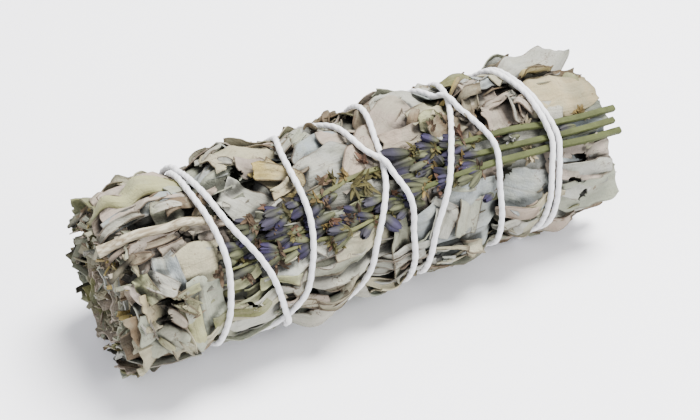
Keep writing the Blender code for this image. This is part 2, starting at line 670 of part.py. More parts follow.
def lay_stem(xs, angles, field, radius):
    """Places and centre radius of a stem laid on the field, a point every few millimetres."""
    knots = np.linspace(0.0, 1.0, len(xs))
    length = abs(xs[-1] - xs[0])
    fine = np.linspace(0.0, 1.0, int(length / FINE_STEP))
    centre = lay_line(smooth_steps(knots, xs, fine), smooth_steps(knots, angles, fine), field, radius)
    steps = np.linspace(0.0, 1.0, int(length / STEM_STEP) + 1)
    return (steps, smooth_steps(knots, xs, steps), smooth_steps(knots, angles, steps),
            np.interp(steps, fine, centre))


def make_lavender(number, route, whorls, field, rng, collection, scratch):
    """Lavender sprig: a bent stem with whorls of calyces towards its head, fused."""
    xs, angles = (np.array(values, float) for values in zip(*route))
    steps, x, angle, centre = lay_stem(xs, angles, field, LAVENDER_STEM_RADIUS)
    points = to_space(x, angle, centre)
    sprig = tube(f"lavender_sprig_{number}", points, LAVENDER_STEM_RADIUS, 6, collection)
    first, last, count = whorls
    for k in range(count):
        at = first + (last - first) * k / max(count - 1, 1)
        here = np.array([np.interp(at - 0.01, steps, part) for part in (x, angle, centre)])
        heading = math.copysign(1.0, xs[-1] - xs[0])
        for c in range(CALYCES_A_WHORL):
            spread = (c / (CALYCES_A_WHORL - 1) - 0.5) * 2.0
            foot = to_space(here[0], here[1], here[2] + 0.1)
            tip = to_space(here[0] + heading * CALYX_LENGTH * (1.0 - 0.25 * abs(spread)),
                           here[1] + spread * CALYX_SPREAD + rng.uniform(-0.6, 0.6),
                           here[2] + 0.2 + 0.5 * (1.0 - abs(spread)))
            calyx(f"loose_calyx_{number}_{k}_{c}", foot, tip, CALYX_WIDTH, scratch)
    fuse(sprig, scratch)
    return sprig


def material(name, colour, roughness):
    """Plain Principled material."""
    surface = bpy.data.materials.new(name)
    surface.use_nodes = True
    shader = surface.node_tree.nodes["Principled BSDF"]
    shader.inputs["Base Color"].default_value = (*colour, 1.0)
    shader.inputs["Roughness"].default_value = roughness
    surface.diffuse_color = (*colour, 1.0)
    return surface


def give(item, surface):
    """One material on an object, and smooth shading with its sharp edges kept."""
    item.data.materials.clear()
    item.data.materials.append(surface)
    item.data.shade_smooth()
    item.data.set_sharp_from_angle(angle=math.radians(35.0))


def clear_scene():
    """Remove the objects that the file opens with."""
    for item in list(bpy.data.objects):
        bpy.data.objects.remove(item)


def make_stems(bundle, bunch, cutters):
    """Sage stems: the inner ones stand in drilled holes at the cut end."""
    stems = []
    for number, (y, height, depth) in enumerate(INNER_STEMS, 1):
        last = -HALF_LENGTH + 0.8 * (number % 3)
        ends = np.array([(last, y, height), (-CORE_HALF_LENGTH + depth, y, height)])
        stems.append(tube(f"sage_stem_{number}", ends, SAGE_STEM_RADIUS, 8, bunch))
        ends[0, 0] = -HALF_LENGTH - 6.0
        ends[1, 0] += GAP
        hole = tube(f"hole_{number}", ends, SAGE_STEM_RADIUS + GAP, 8, cutters)
        hole.hide_render = True
        hole.display_type = "WIRE"
    cut(bundle, cutters)
    return stems


def make_outer_stem(field, bunch):
    """Sage stem laid on the outside near the cut end."""
    xs, angles = (np.array(values, float) for values in zip(*OUTER_STEM_ROUTE))
    steps, x, angle, centre = lay_stem(xs, angles, field, SAGE_STEM_RADIUS)
    points = to_space(x, angle, centre)
    stem = tube("sage_stem_outer", points, SAGE_STEM_RADIUS, 8, bunch)
    field.add(stem)
    return stem


def main():
    clear_scene()
    scene = bpy.context.scene
    bunch = bpy.data.collections.new("sage_bunch")
    scratch = bpy.data.collections.new("loose_pieces")
    cutters = bpy.data.collections.new("cutters")
    for group in (bunch, scratch, cutters):
        scene.collection.children.link(group)

    leaf_colour = material("sage_leaf", (0.52, 0.53, 0.45), 0.9)
    pale_leaf = material("pale_sage_leaf", (0.60, 0.60, 0.53), 0.9)
    stem_colour = material("sage_stem", (0.60, 0.52, 0.36), 0.75)
    sprig_colour = material("lavender", (0.24, 0.26, 0.16), 0.8)
    string_colour = material("cotton_string", (0.84, 0.84, 0.82), 0.85)

    bundle = make_bundle(bunch, scratch)
    stems = make_stems(bundle, bunch, cutters)
    field = HeightField()
    field.add(bundle)
    stems.append(make_outer_stem(field, bunch))
    rng = np.random.default_rng(SEED + 1)
    leaves = [draped_leaf(f"sage_leaf_{number}", values, field, rng, bunch)
              for number, values in enumerate(OUTER_LEAVES, 1)]
    sprigs = []
    for number, (route, whorls) in enumerate(zip(LAVENDER_ROUTES, LAVENDER_WHORLS), 1):
        sprigs.append(make_lavender(number, route, whorls, field, rng, bunch, scratch))
        field.add(sprigs[-1])
    string = make_string(field, bunch, scratch)

    give(bundle, leaf_colour)
    give(string, string_colour)
    for group, surface in ((leaves, pale_leaf), (stems, stem_colour), (sprigs, sprig_colour)):
        for item in group:
            give(item, surface)


main()
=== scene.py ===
"""Looks of the dried sage bunch: leaves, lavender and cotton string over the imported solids.

The bunch lies along X, its cut end at -X. A place on its side is (x, turn): millimetres
along the bunch, and degrees round it, where 0 is the top, 90 the front (-Y), 180 the
underside and 270 the back (+Y). A height is a share of the leaf pile's depth, from 0 on
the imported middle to 1 on the skin of the bunch. The skin dips under the string, so
everything laid by height is pressed there in the same order as it was laid.
"""
import functools
import math

import bpy
import numpy as np
from mathutils import Matrix, Vector


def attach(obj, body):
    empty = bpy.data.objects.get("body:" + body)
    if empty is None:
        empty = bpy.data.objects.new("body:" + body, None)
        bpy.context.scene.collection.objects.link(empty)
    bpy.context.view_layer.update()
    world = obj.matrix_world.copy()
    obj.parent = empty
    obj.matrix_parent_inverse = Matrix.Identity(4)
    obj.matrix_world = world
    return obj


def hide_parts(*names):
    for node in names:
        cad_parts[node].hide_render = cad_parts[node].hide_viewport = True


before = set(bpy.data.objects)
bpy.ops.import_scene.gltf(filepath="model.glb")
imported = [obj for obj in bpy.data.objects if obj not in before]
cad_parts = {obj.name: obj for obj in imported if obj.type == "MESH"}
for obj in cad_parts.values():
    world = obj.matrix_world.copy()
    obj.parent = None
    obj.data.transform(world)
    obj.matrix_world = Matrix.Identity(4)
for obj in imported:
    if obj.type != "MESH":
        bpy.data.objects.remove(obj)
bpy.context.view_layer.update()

# Sizes are in millimetres, unless a comment gives another measure. Side and bed: radii of the
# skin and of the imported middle, and the usual depth of leaves between them
MM = 0.001
AXIS_HEIGHT = 20.0
SIDE_RADIUS = 21.0
TIP_END_SWELL = 0.3
SIDE_LUMP = 0.5
BED_RADIUS = 14.8
FREE_DEPTH = 5.6

# Least distance that each thing keeps from the ground
LEAF_CLEAR = 0.22
SKIN_CLEAR = 0.45
END_CLEAR = 0.5
STRING_CLEAR = 1.1
BED_CLEAR = 3.2

# Net of places over the side: its steps (mm and degrees) and the radius that turns are rolled out at
UNROLL_RADIUS = 20.0
X_STEP = 0.5
TURN_STEP = 1.5
X_LINE = np.arange(-66.0, 66.1, X_STEP)
TURN_LINE = np.arange(0.0, 360.0, TURN_STEP)

# Bite of the string in the skin, and the band on the front where the lavender lies
BITE_DEPTH = 1.5
BITE_WIDTH = 3.0
BITE_SLOPE_DEPTH = 0.4
BITE_SLOPE_WIDTH = 7.0
BAND_DEPTH = 1.4
BAND_TURNS = (27.0, 65.0)
BAND_START = -42.0
BAND_SOFTNESS = 2.5

# How far a leaf may rise above the skin, as a share of the depth: under the string, how much
# more away from it, and the distance at which it is free
PRESSED_ROOM = 0.03
FREE_ROOM = 0.38
PRESS_WIDTH = 4.5

# Leaves: wall, gap to the next, how deep a root is tucked in, how far they reach along the
# bunch, and how near a chance bit may lie to the middle line of a separate outer leaf
LEAF_THICKNESS = 0.26
LEAF_GAP = 0.22
ROOT_TUCK = 0.9
REACH = 60.2
CLEAR_OF_OUTER_LEAF = 3.4

# Rows and columns of the leaves' grids
LOWER_GRID = (14, 8)
DEEPER_GRID = (28, 15)
FRONT_GRID = (34, 19)
SCRAP_GRID = (12, 8)
BACK_GRID = (28, 14)
BACK_OUTER_GRID = (30, 15)

# Facts of a surface that has no edge, rib or shade to show, and the across value off a rib
PLAIN_FACTS = (0.0, 0.0, 1.0, 1.0)
OFF_RIB = 9.0

# Edges of a mesh sharper than this (degrees) stay sharp
SHARP_ANGLE = 60.0

# String: radius, radius of each of its two plies, and the length of one twist
STRING_RADIUS = 0.69
PLY_RADIUS = 0.58
PLY_TWIST = 4.6

# What every chance draw starts from
SEED = 20

# String route: total angle turned, then x. One turn is 360 degrees.
STRING_ROUTE = (
    (-110, -39.6), (-75, -38.9), (-50, -37.5), (-26, -36.3), (4, -36.4), (25, -35.0), (44, -32.8),
    (58, -30.5), (73, -28.4), (92, -26.7), (134, -23.4), (180, -19.0), (240, -12.8),
    (300, -6.4), (350, -1.7), (377, 0.6), (388, 3.0), (405, 4.4), (416, 5.2),
    (450, 5.0), (494, 5.2), (540, 8.4), (600, 14.0), (660, 20.4), (719, 24.8),
    (741, 26.8), (763, 28.6), (777, 27.8), (805, 27.1), (854, 28.2), (900, 31.0),
    (960, 34.6), (1020, 37.6), (1071, 39.6), (1106, 41.1), (1120, 42.1), (1131, 42.3),
    (1144, 41.2), (1160, 40.0), (1175, 39.3), (1195, 39.1), (1260, 39.8),
    (1320, 40.6), (1380, 41.2), (1431, 41.3), (1466, 42.8), (1480, 43.8), (1491, 44.0),
    (1504, 43.0), (1520, 41.8), (1546, 41.5), (1567, 41.6), (1620, 38.0), (1680, 33.2),
    (1740, 28.4), (1803, 24.2), (1824, 20.6), (1838, 17.8), (1865, 12.9), (1880, 10.7),
    (1903, 9.0), (1934, 9.0), (1980, 8.6), (2040, 8.0), (2100, 7.2), (2146, 6.2),
    (2170, 4.4), (2188, 3.2), (2202, 1.9), (2219, -1.0), (2239, -3.9), (2258, -5.6),
    (2283, -9.2), (2340, -11.2), (2400, -12.2), (2460, -12.9), (2492, -13.6), (2519, -16.2),
    (2571, -17.2), (2600, -19.3), (2615, -20.8), (2631, -24.5), (2652, -28.6), (2700, -32.6),
    (2760, -35.0), (2800, -35.6), (2835, -36.6), (2858, -37.9), (2887, -38.3), (2939, -36.9),
    (2968, -38.1), (2990, -39.7), (3040, -40.2), (3090, -40.0), (3130, -39.6),
)
KNOT_PLACE = (-39.6, 250.0)

# Leaf colours
TINTS = {
    "grey_green": (0.211, 0.218, 0.164),
    "white": (0.257, 0.257, 0.224),
    "blue": (0.208, 0.229, 0.228),
    "pink": (0.250, 0.204, 0.163),
    "yellow_green": (0.216, 0.216, 0.115),
    "olive": (0.104, 0.104, 0.045),
    "ochre": (0.252, 0.190, 0.064),
    "brown": (0.118, 0.086, 0.053),
    "cream": (0.268, 0.248, 0.170),
    "sand": (0.290, 0.248, 0.148),
}

# Dark openings between the leaves of the front: x, turn, half length (mm), half width (mm)
OPENINGS = (
    (-51.5, 20, 3.0, 1.0), (-43.0, 34.5, 2.6, 0.9), (-34.6, 20, 1.6, 2.2), (-32.2, 30, 1.5, 2.0),
    (-28.0, 4, 1.8, 1.8), (-25.4, 14, 1.5, 2.2), (-23.4, 22, 1.6, 1.2), (-52.5, 76, 1.6, 2.4),
    (-49.5, 68, 2.6, 0.8), (-11.5, -14, 2.4, 0.8), (32.5, -11, 1.8, 1.0), (49.5, 68.5, 2.0, 1.2),
    (47.0, 83, 1.7, 1.3), (48.5, 98, 2.0, 1.6), (44.5, 60, 1.2, 1.0), (28.6, 19, 0.9, 2.2),
    (38.0, 8, 0.8, 0.9), (30.0, 62, 1.6, 1.0), (18.0, 95, 0.7, 1.2), (-11.0, 95, 1.8, 0.7),
    (-33.5, 87, 1.6, 0.7), (1.5, 2, 1.2, 1.0), (19.5, 11, 1.8, 0.6),
    (-41.0, 108, 1.0, 1.2), (12.0, 115, 1.2, 2.4), (36.0, 100, 0.9, 2.2), (-23.0, 62, 1.6, 0.8),
)

# Leaves of the front that lie deeper and are cut open at the openings. Root x and turn, tip x
# and turn, width, kind, colour, roll (radians; edges up above zero), tilt (mm), lift of the tip
# (mm), bend
UNDER_LEAVES = (
    (-38.0, 110, -57.0, 112, 10.0, "blade", "brown", 0.5, 0.5, 0.6, 0.05),
    (-38.0, 95, -60.0, 98, 9.0, "strip", "brown", 0.8, -0.3, 0.5, 0.05),
    (-20.0, 112, -40.0, 108, 9.0, "blade", "grey_green", 0.5, 0.5, 0.4, 0.08),
    (-22.0, 97, -40.0, 96, 8.0, "blade", "white", 0.6, 0.4, 0.4, -0.08),
    (-21.0, 88, -38.0, 84, 6.0, "blade", "grey_green", 0.9, -0.4, 0.5, 0.06),
    (-2.0, 116, -22.0, 113, 9.0, "blade", "grey_green", 0.6, -0.4, 0.4, 0.05),
    (2.0, 104, -18.0, 103, 8.5, "strip", "white", 0.5, 0.5, 0.3, 0.04),
    (24.0, 118, 4.0, 116, 9.0, "blade", "white", 0.6, 0.4, 0.3, 0.05),
    (26.0, 104, 8.0, 106, 10.0, "strip", "blue", 0.4, -0.4, 0.2, 0.04),
    (44.0, 112, 27.0, 108, 9.0, "blade", "grey_green", 0.7, 0.4, 0.5, 0.05),
    (42.0, 99, 28.0, 98, 8.0, "strip", "pink", 0.6, 0.4, 0.6, 0.04),
    (39.0, 112, 58.5, 114, 11.0, "broad", "brown", 0.5, 0.4, 0.8, 0.04),
    (38.0, 100, 59.0, 101, 10.0, "broad", "white", 0.7, 0.5, 0.8, 0.03),
    (-34.0, 70, -54.0, 72, 8.0, "strip", "olive", 0.5, 0.3, 0.2, 0.04),
    (-38.0, 37, -55.5, 36, 5.0, "strip", "olive", 0.9, 0.3, 0.2, 0.02),
    (-34.0, 47, -54.5, 44, 11.0, "scrap", "pink", 0.3, 0.3, 0.4, 0.02),
    (-36.0, 60, -54.0, 58, 9.0, "scrap", "white", 0.4, 0.4, 0.5, 0.02),
    (-38.0, 18, -58.0, 20, 8.0, "strip", "white", 0.5, 0.6, 0.4, 0.04),
    (-38.0, 8, -58.5, 7, 6.5, "strip", "pink", 1.0, 0.3, 0.2, 0.03),
    (-24.0, -24, -42.0, -22, 10.0, "blade", "grey_green", 0.4, 0.4, 0.8, 0.05),
    (-36.0, -16, -56.0, -17, 8.0, "blade", "pink", 0.6, 0.5, 1.2, 0.04),
    (-22.0, -4, -39.0, 10, 7.0, "strip", "grey_green", 0.4, 0.3, 0.2, 0.03),
    (-18.0, -18, -32.0, -30, 10.0, "blade", "white", 0.4, 0.5, 0.8, 0.05),
    (-2.0, -14, -18.0, -8, 9.0, "blade", "blue", 0.5, 0.4, 0.5, -0.05),
    (0.0, -28, -16.0, -26, 9.0, "strip", "grey_green", 0.6, 0.4, 1.0, 0.05),
    (20.0, -24, 2.0, -26, 9.0, "blade", "olive", 0.5, -0.5, 1.6, 0.05),
    (22.0, -14, 6.0, -16, 9.0, "blade", "white", 0.5, 0.4, 0.8, 0.05),
    (36.0, -28, 20.0, -26, 10.0, "blade", "blue", 0.4, 0.4, 0.6, 0.05),
    (44.0, -30, 57.0, -34, 11.0, "broad", "grey_green", 0.4, 0.4, 2.4, 0.05),
    (45.0, -14, 30.0, -16, 9.0, "strip", "white", 0.5, 0.4, 0.5, 0.05),
)

# Leaves on top of them, in the order they were laid and in the same columns
FRONT_LEAVES = (
    (2.0, 84, -24.0, 90, 6.5, "strip", "white", 1.9, 0.0, 0.2, 0.02),
    (1.0, 76, -26.0, 83, 7.0, "blade", "grey_green", 0.4, 0.5, 0.3, 0.03),
    (-12.0, 68, -30.0, 74, 6.0, "blade", "white", 0.7, -0.4, 0.4, 0.05),
    (0.0, 71, -14.0, 70, 6.0, "strip", "cream", 0.5, 0.4, 0.3, -0.03),
    (30.0, 66, 5.0, 64, 6.5, "strip", "pink", 0.6, 0.5, 0.1, 0.02),
    (29.0, 59, 10.0, 60, 4.5, "strip", "pink", 1.5, 0.3, 0.1, 0.02),
    (3.0, 66, 2.5, 116, 5.5, "blade", "grey_green", 0.9, 0.3, 0.2, 0.04),
    (28.0, 77, 6.0, 84, 13.0, "broad", "blue", 0.25, 0.4, 0.2, 0.03),
    (20.0, 70, 17.5, 95, 6.0, "strip", "grey_green", 0.4, 0.5, 0.1, 0.03),
    (14.0, 71, 11.0, 92, 5.5, "strip", "white", 0.4, 0.5, 0.1, -0.03),
    (-41.0, 45, -49.0, 47, 7.5, "scrap", "pink", 0.3, 0.5, 0.1, 0.0),
    (-36.0, 52, -47.0, 53, 8.5, "scrap", "cream", 0.3, 0.3, 0.1, 0.0),
    (-49.0, 40, -48.0, 68, 5.0, "strip", "blue", 0.5, 0.6, 0.3, 0.05),
    (-43.0, 59, -42.0, 106, 9.5, "broad", "grey_green", 0.5, 0.6, 0.2, 0.04),
    (-46.5, 66, -46.0, 100, 5.0, "strip", "yellow_green", 0.7, 0.5, 0.1, 0.03),
    (-49.5, 84, -48.5, 112, 5.0, "blade", "cream", 1.4, 0.3, 0.3, 0.03),
    (-49.0, 88, -54.5, 108, 7.0, "broad", "grey_green", -0.9, 0.3, 0.4, 0.03),
    (-51.0, 62, -45.0, 76, 3.6, "strip", "yellow_green", 1.6, 0.3, 0.1, 0.03),
    (-56.5, 76, -52.0, 76, 6.5, "scrap", "cream", 1.0, 0.6, 0.4, 0.0),
    (-55.5, 66, -54.5, 92, 3.2, "strip", "white", 1.8, 0.6, 0.3, 0.04),
    (-53.5, 50, -48.5, 62, 4.0, "scrap", "white", 0.9, 0.6, 0.3, 0.03),
    (-54.5, 48, -52.5, 66, 3.4, "strip", "yellow_green", 1.2, 0.5, 0.2, 0.04),
    (-40.0, 11, -57.5, 13.5, 4.4, "strip", "blue", 1.5, 0.4, 0.4, 0.05),
    (-41.0, 24, -47.5, 17, 5.0, "scrap", "grey_green", 0.6, 0.5, 0.2, 0.03),
    (-37.5, 0, -56.5, 3, 7.0, "strip", "pink", -0.7, 0.4, 0.1, 0.04),
    (-37.5, -6, -58.5, -5, 9.0, "blade", "yellow_green", -2.2, 0.2, 0.2, 0.03),
    (-45.0, -13, -55.0, -12, 6.0, "blade", "pink", 0.7, 0.6, 0.9, 0.05),
    (-37.0, -3, -42.5, 4, 3.6, "strip", "grey_green", -1.4, 0.2, 0.1, 0.05),
    (-37.0, -8, -28.0, -3, 5.5, "scrap", "blue", 0.3, 0.3, 0.2, 0.04),
    (-37.0, 9, -27.0, 2, 4.2, "strip", "grey_green", 0.5, 0.4, 0.2, 0.03),
    (-31.5, 11, -24.0, 37, 8.6, "scrap", "white", 0.25, 0.4, 0.2, 0.04),
    (-16.0, -16, -31.5, -9, 9.0, "scrap", "cream", -0.6, 0.3, 0.6, 0.04),
    (-18.0, 9, -26.5, 0, 5.0, "strip", "pink", 0.6, 0.5, 0.3, 0.03),
    (-8.0, -6, -15.0, -10, 7.0, "scrap", "white", 0.4, 0.4, 0.2, 0.03),
    (-15.0, -3, -14.0, -14, 4.0, "strip", "brown", 1.2, 0.5, 0.2, 0.04),
    (0.0, 4, -14.0, 12, 8.5, "broad", "blue", 0.3, 0.4, 0.2, 0.03),
    (-1.0, 18, -16.5, 22, 9.0, "scrap", "white", 0.3, 0.3, 0.2, 0.03),
    (4.0, 10, -5.5, 29, 6.0, "blade", "pink", 0.5, 0.6, 0.2, 0.04),
    (-1.0, -4, -7.0, 2, 4.0, "scrap", "pink", 0.6, 0.5, 0.3, 0.04),
    (17.0, -9, 1.0, 17, 10.5, "broad", "pink", 0.3, 0.4, 0.3, 0.03),
    (15.0, 22, 5.0, 19, 6.5, "scrap", "pink", 0.3, 0.5, 0.2, 0.03),
    (24.0, 1, 12.5, 10, 4.4, "strip", "cream", 1.3, 0.3, 0.3, 0.05),
    (21.0, 15, 14.0, 15, 5.0, "blade", "yellow_green", 0.9, 0.4, 0.4, 0.04),
    (26.0, 14, 16.0, 27, 6.0, "strip", "brown", 0.6, 0.5, 0.2, 0.04),
    (33.0, -9, 33.5, 33, 8.0, "scrap", "pink", 0.4, 0.5, 0.2, 0.03),
    (31.0, -6, 27.0, 20, 3.6, "strip", "brown", 1.0, 0.5, 0.2, 0.04),
    (42.0, 6, 36.0, 32, 6.0, "blade", "white", 0.8, 0.6, 0.3, 0.05),
    (42.0, 18, 37.5, 30, 4.4, "blade", "pink", 1.3, 0.4, 0.3, 0.05),
    (28.0, -12, 42.0, -24, 6.0, "blade", "white", 0.6, 0.5, 0.4, 0.05),
    (41.0, -10, 30.0, -4, 5.0, "strip", "blue", 0.8, 0.4, 0.4, 0.04),
    (29.0, 72, 41.0, 86, 11.0, "broad", "blue", 0.3, 0.4, 0.2, 0.04),
    (27.0, 92, 42.0, 108, 6.5, "blade", "cream", 0.9, 0.5, 0.4, 0.04),
    (41.0, 40, 59.0, 42, 8.5, "broad", "grey_green", 0.4, 0.5, 0.4, 0.03),
    (42.0, 53, 57.5, 58, 10.0, "broad", "blue", 0.3, 0.4, 0.4, 0.03),
    (41.0, 66, 57.0, 74, 8.5, "scrap", "pink", 0.5, 0.5, 0.6, 0.04),
    (41.5, 80, 56.0, 84, 9.0, "broad", "white", 0.7, 0.5, 0.9, 0.04),
    (41.5, 93, 58.5, 94, 8.5, "broad", "grey_green", 0.7, 0.6, 0.9, 0.04),
    (40.0, -8, 58.5, -26, 13.0, "broad", "white", 0.35, 0.4, 3.0, 0.04),
    (43.0, 3, 58.5, 3, 5.0, "strip", "brown", 1.5, 0.4, 0.9, 0.03),
    (44.0, 1, 50.0, 6, 5.0, "scrap", "cream", 0.9, 0.6, 0.3, 0.03),
    (41.0, 17, 59.5, 20, 13.0, "broad", "sand", -0.5, 0.2, 0.5, 0.02),
    (42.5, 26, 48.5, 33, 5.0, "scrap", "white", 0.7, 0.6, 0.3, 0.03),
    (33.0, -16, 23.0, -36, 5.5, "blade", "white", 0.7, 0.5, 2.6, 0.04),
    (33.0, -10, 25.5, -27, 4.0, "blade", "olive", 0.9, 0.5, 2.4, 0.05),
    (-17.0, 29, -22.0, 3, 6.4, "scrap", "ochre", 0.5, 0.7, 0.3, 0.05),
    (-17.0, 14, -24.5, 8, 3.6, "scrap", "ochre", 0.9, 0.6, 0.5, 0.05),
    (-17.0, 20, -22.5, 26, 3.2, "scrap", "sand", -1.1, 0.6, 0.4, -0.05),
    (44.0, -2, 52.0, -4, 3.4, "strip", "ochre", 1.2, 0.5, 0.8, 0.04),
    (30.0, 103, 44.0, 118, 4.0, "strip", "white", 1.2, 0.4, 0.3, 0.03),
)

# Small bits and narrow folds of leaf by chance: x and turn ranges, how many, shortest and
# longest, greatest width, spread of the heading (radians), tints
SCRAP_ZONES = (
    ((-22.0, 24.0), (-24.0, 20.0), 24, (3.0, 8.0), 3.4, 0.6, "white grey_green pink brown"),
    ((-57.0, -46.0), (34.0, 112.0), 16, (3.0, 7.0), 3.0, 0.9, "cream pink brown yellow_green"),
    ((-36.0, 16.0), (92.0, 122.0), 20, (9.0, 20.0), 3.6, 0.10, "grey_green white pink cream"),
    ((-38.0, 30.0), (100.0, 124.0), 10, (3.0, 7.0), 2.6, 0.5, "brown white olive cream"),
    ((-36.0, 18.0), (34.0, 66.0), 30, (3.0, 8.0), 3.4, 0.6, "white cream grey_green olive"),
    ((27.0, 43.0), (-20.0, 36.0), 14, (3.0, 8.0), 3.2, 0.6, "pink cream brown ochre"),
    ((-40.0, -24.0), (64.0, 96.0), 12, (5.0, 12.0), 3.0, 0.25, "yellow_green white olive cream"),
    ((28.0, 44.0), (66.0, 116.0), 6, (5.0, 12.0), 3.2, 0.3, "grey_green white pink cream"),
    ((45.0, 57.0), (62.0, 116.0), 8, (3.0, 8.0), 3.0, 0.4, "pink olive brown cream"),
    ((-56.0, -38.0), (-20.0, 34.0), 16, (5.0, 12.0), 2.8, 0.15, "pink cream brown white"),
    ((-38.0, -24.0), (-24.0, 34.0), 12, (3.0, 8.0), 3.0, 0.5, "grey_green white brown pink"),
)

# The same for the back and the underside
BACK_SCRAP_ZONES = (
    ((-57.0, 57.0), (126.0, 214.0), 46, (4.0, 14.0), 3.4, 0.25, "grey_green white pink brown"),
    ((-57.0, 57.0), (214.0, 334.0), 84, (3.0, 11.0), 3.4, 0.5, "cream white brown olive"),
)

# Openings of the back: how many, and the greatest and least x, turn, half length and half width
BACK_OPENINGS = 26
BACK_OPENING_RANGES = ((55.0, 332.0, 2.3, 1.8), (-55.0, 132.0, 0.8, 0.6))

# Tints of the lower leaves and the back's, of the folded cut ends, the crumbs and the tips
COMMON_TINTS = "grey_green white blue pink grey_green white cream yellow_green brown"
CUT_TINTS = "grey_green brown pink cream sand white grey_green pink olive"
CRUMB_TINTS = "brown pink ochre cream grey_green"
TIP_TINTS = "grey_green white blue pink cream yellow_green white brown"

# The separate outer leaves of the solids, and which leaf of the list above shows each
OUTER_LEAVES_OF_FRONT = (
    (1, (-37.5, -6, -58.5, -5)), (2, (-43.0, 59, -42.0, 106)), (3, (-31.5, 11, -24.0, 37)),
    (4, (17.0, -9, 1.0, 17)), (5, (1.0, 76, -26.0, 83)), (6, (28.0, 77, 6.0, 84)),
    (7, (40.0, -8, 58.5, -26)), (8, (41.0, 17, 59.5, 20)), (9, (41.5, 80, 56.0, 84)),
)

# The one of them that has openings torn in it
OPENED_LEAF = 9

# Outer leaves of the back that are separate solids, numbered as there, in the same columns
BACK_OUTER_LEAVES = (
    (10, (-28.0, 292, -50.0, 300, 10.0, "blade", "white", 0.5, 0.4, 0.8, 0.05)),
    (11, (2.0, 262, -20.0, 250, 10.5, "blade", "grey_green", 0.4, 0.4, 0.5, 0.05)),
    (12, (6.0, 312, 28.0, 300, 10.0, "blade", "pink", 0.4, 0.4, 0.5, 0.05)),
    (13, (24.0, 238, 47.0, 246, 10.5, "blade", "blue", 0.5, 0.4, 0.6, 0.05)),
    (14, (36.0, 296, 57.5, 290, 11.0, "broad", "grey_green", 0.5, 0.4, 1.2, 0.05)),
)

# Lavender stems (x, turn), each from its foot to the tip of its head; three start out at +X
LAVENDER_STEMS = (
    ((61.9, 43), (52.0, 42), (42.0, 38.5), (30.0, 34), (18.0, 32), (3.0, 31)),
    ((60.4, 52), (50.0, 50.5), (40.0, 48), (28.0, 44.5), (18.0, 42), (8.0, 41)),
    ((62.0, 62), (50.0, 58), (38.0, 55), (26.0, 53), (13.0, 53), (1.0, 55)),
    ((2.0, 30), (-5.0, 32), (-13.0, 37), (-23.0, 42), (-33.0, 44)),
    ((0.0, 55), (-9.0, 57), (-18.0, 56), (-28.0, 53), (-37.0, 51)),
    ((8.0, 61), (0.0, 62), (-13.0, 64), (-25.0, 63), (-37.0, 63.5)),
)
LAVENDER_STEM_RADII = (0.82, 0.8, 0.85, 0.6, 0.55, 0.5)
LONG_STEM_COLOUR = (0.052, 0.060, 0.019)
SHORT_STEM_COLOUR = (0.084, 0.086, 0.034)

# Where each stem's head of whorls starts and ends (x), and the distance from whorl to whorl
HEADS = ((23.0, 9.0), (21.5, 13.0), (24.0, 5.0), (-14.0, -30.0), (-6.0, -34.0), (5.0, -32.0))
WHORL_SPACING = 7.6

# Calyces: rings from the foot to the mouth and back inside it, as shares of the length and of
# the half width, and the colours of the foot and of the tip
CALYX_RINGS = (0.0, 0.02, 0.16, 0.42, 0.70, 0.92, 1.0, 0.86, 0.80)
CALYX_SIZES = (0.02, 0.36, 0.66, 0.92, 1.0, 0.80, 0.62, 0.40, 0.02)
CALYX_GREEN = (0.074, 0.078, 0.036)
CALYX_PURPLE = (0.019, 0.012, 0.044)
CALYX_SLATE = (0.021, 0.020, 0.036)

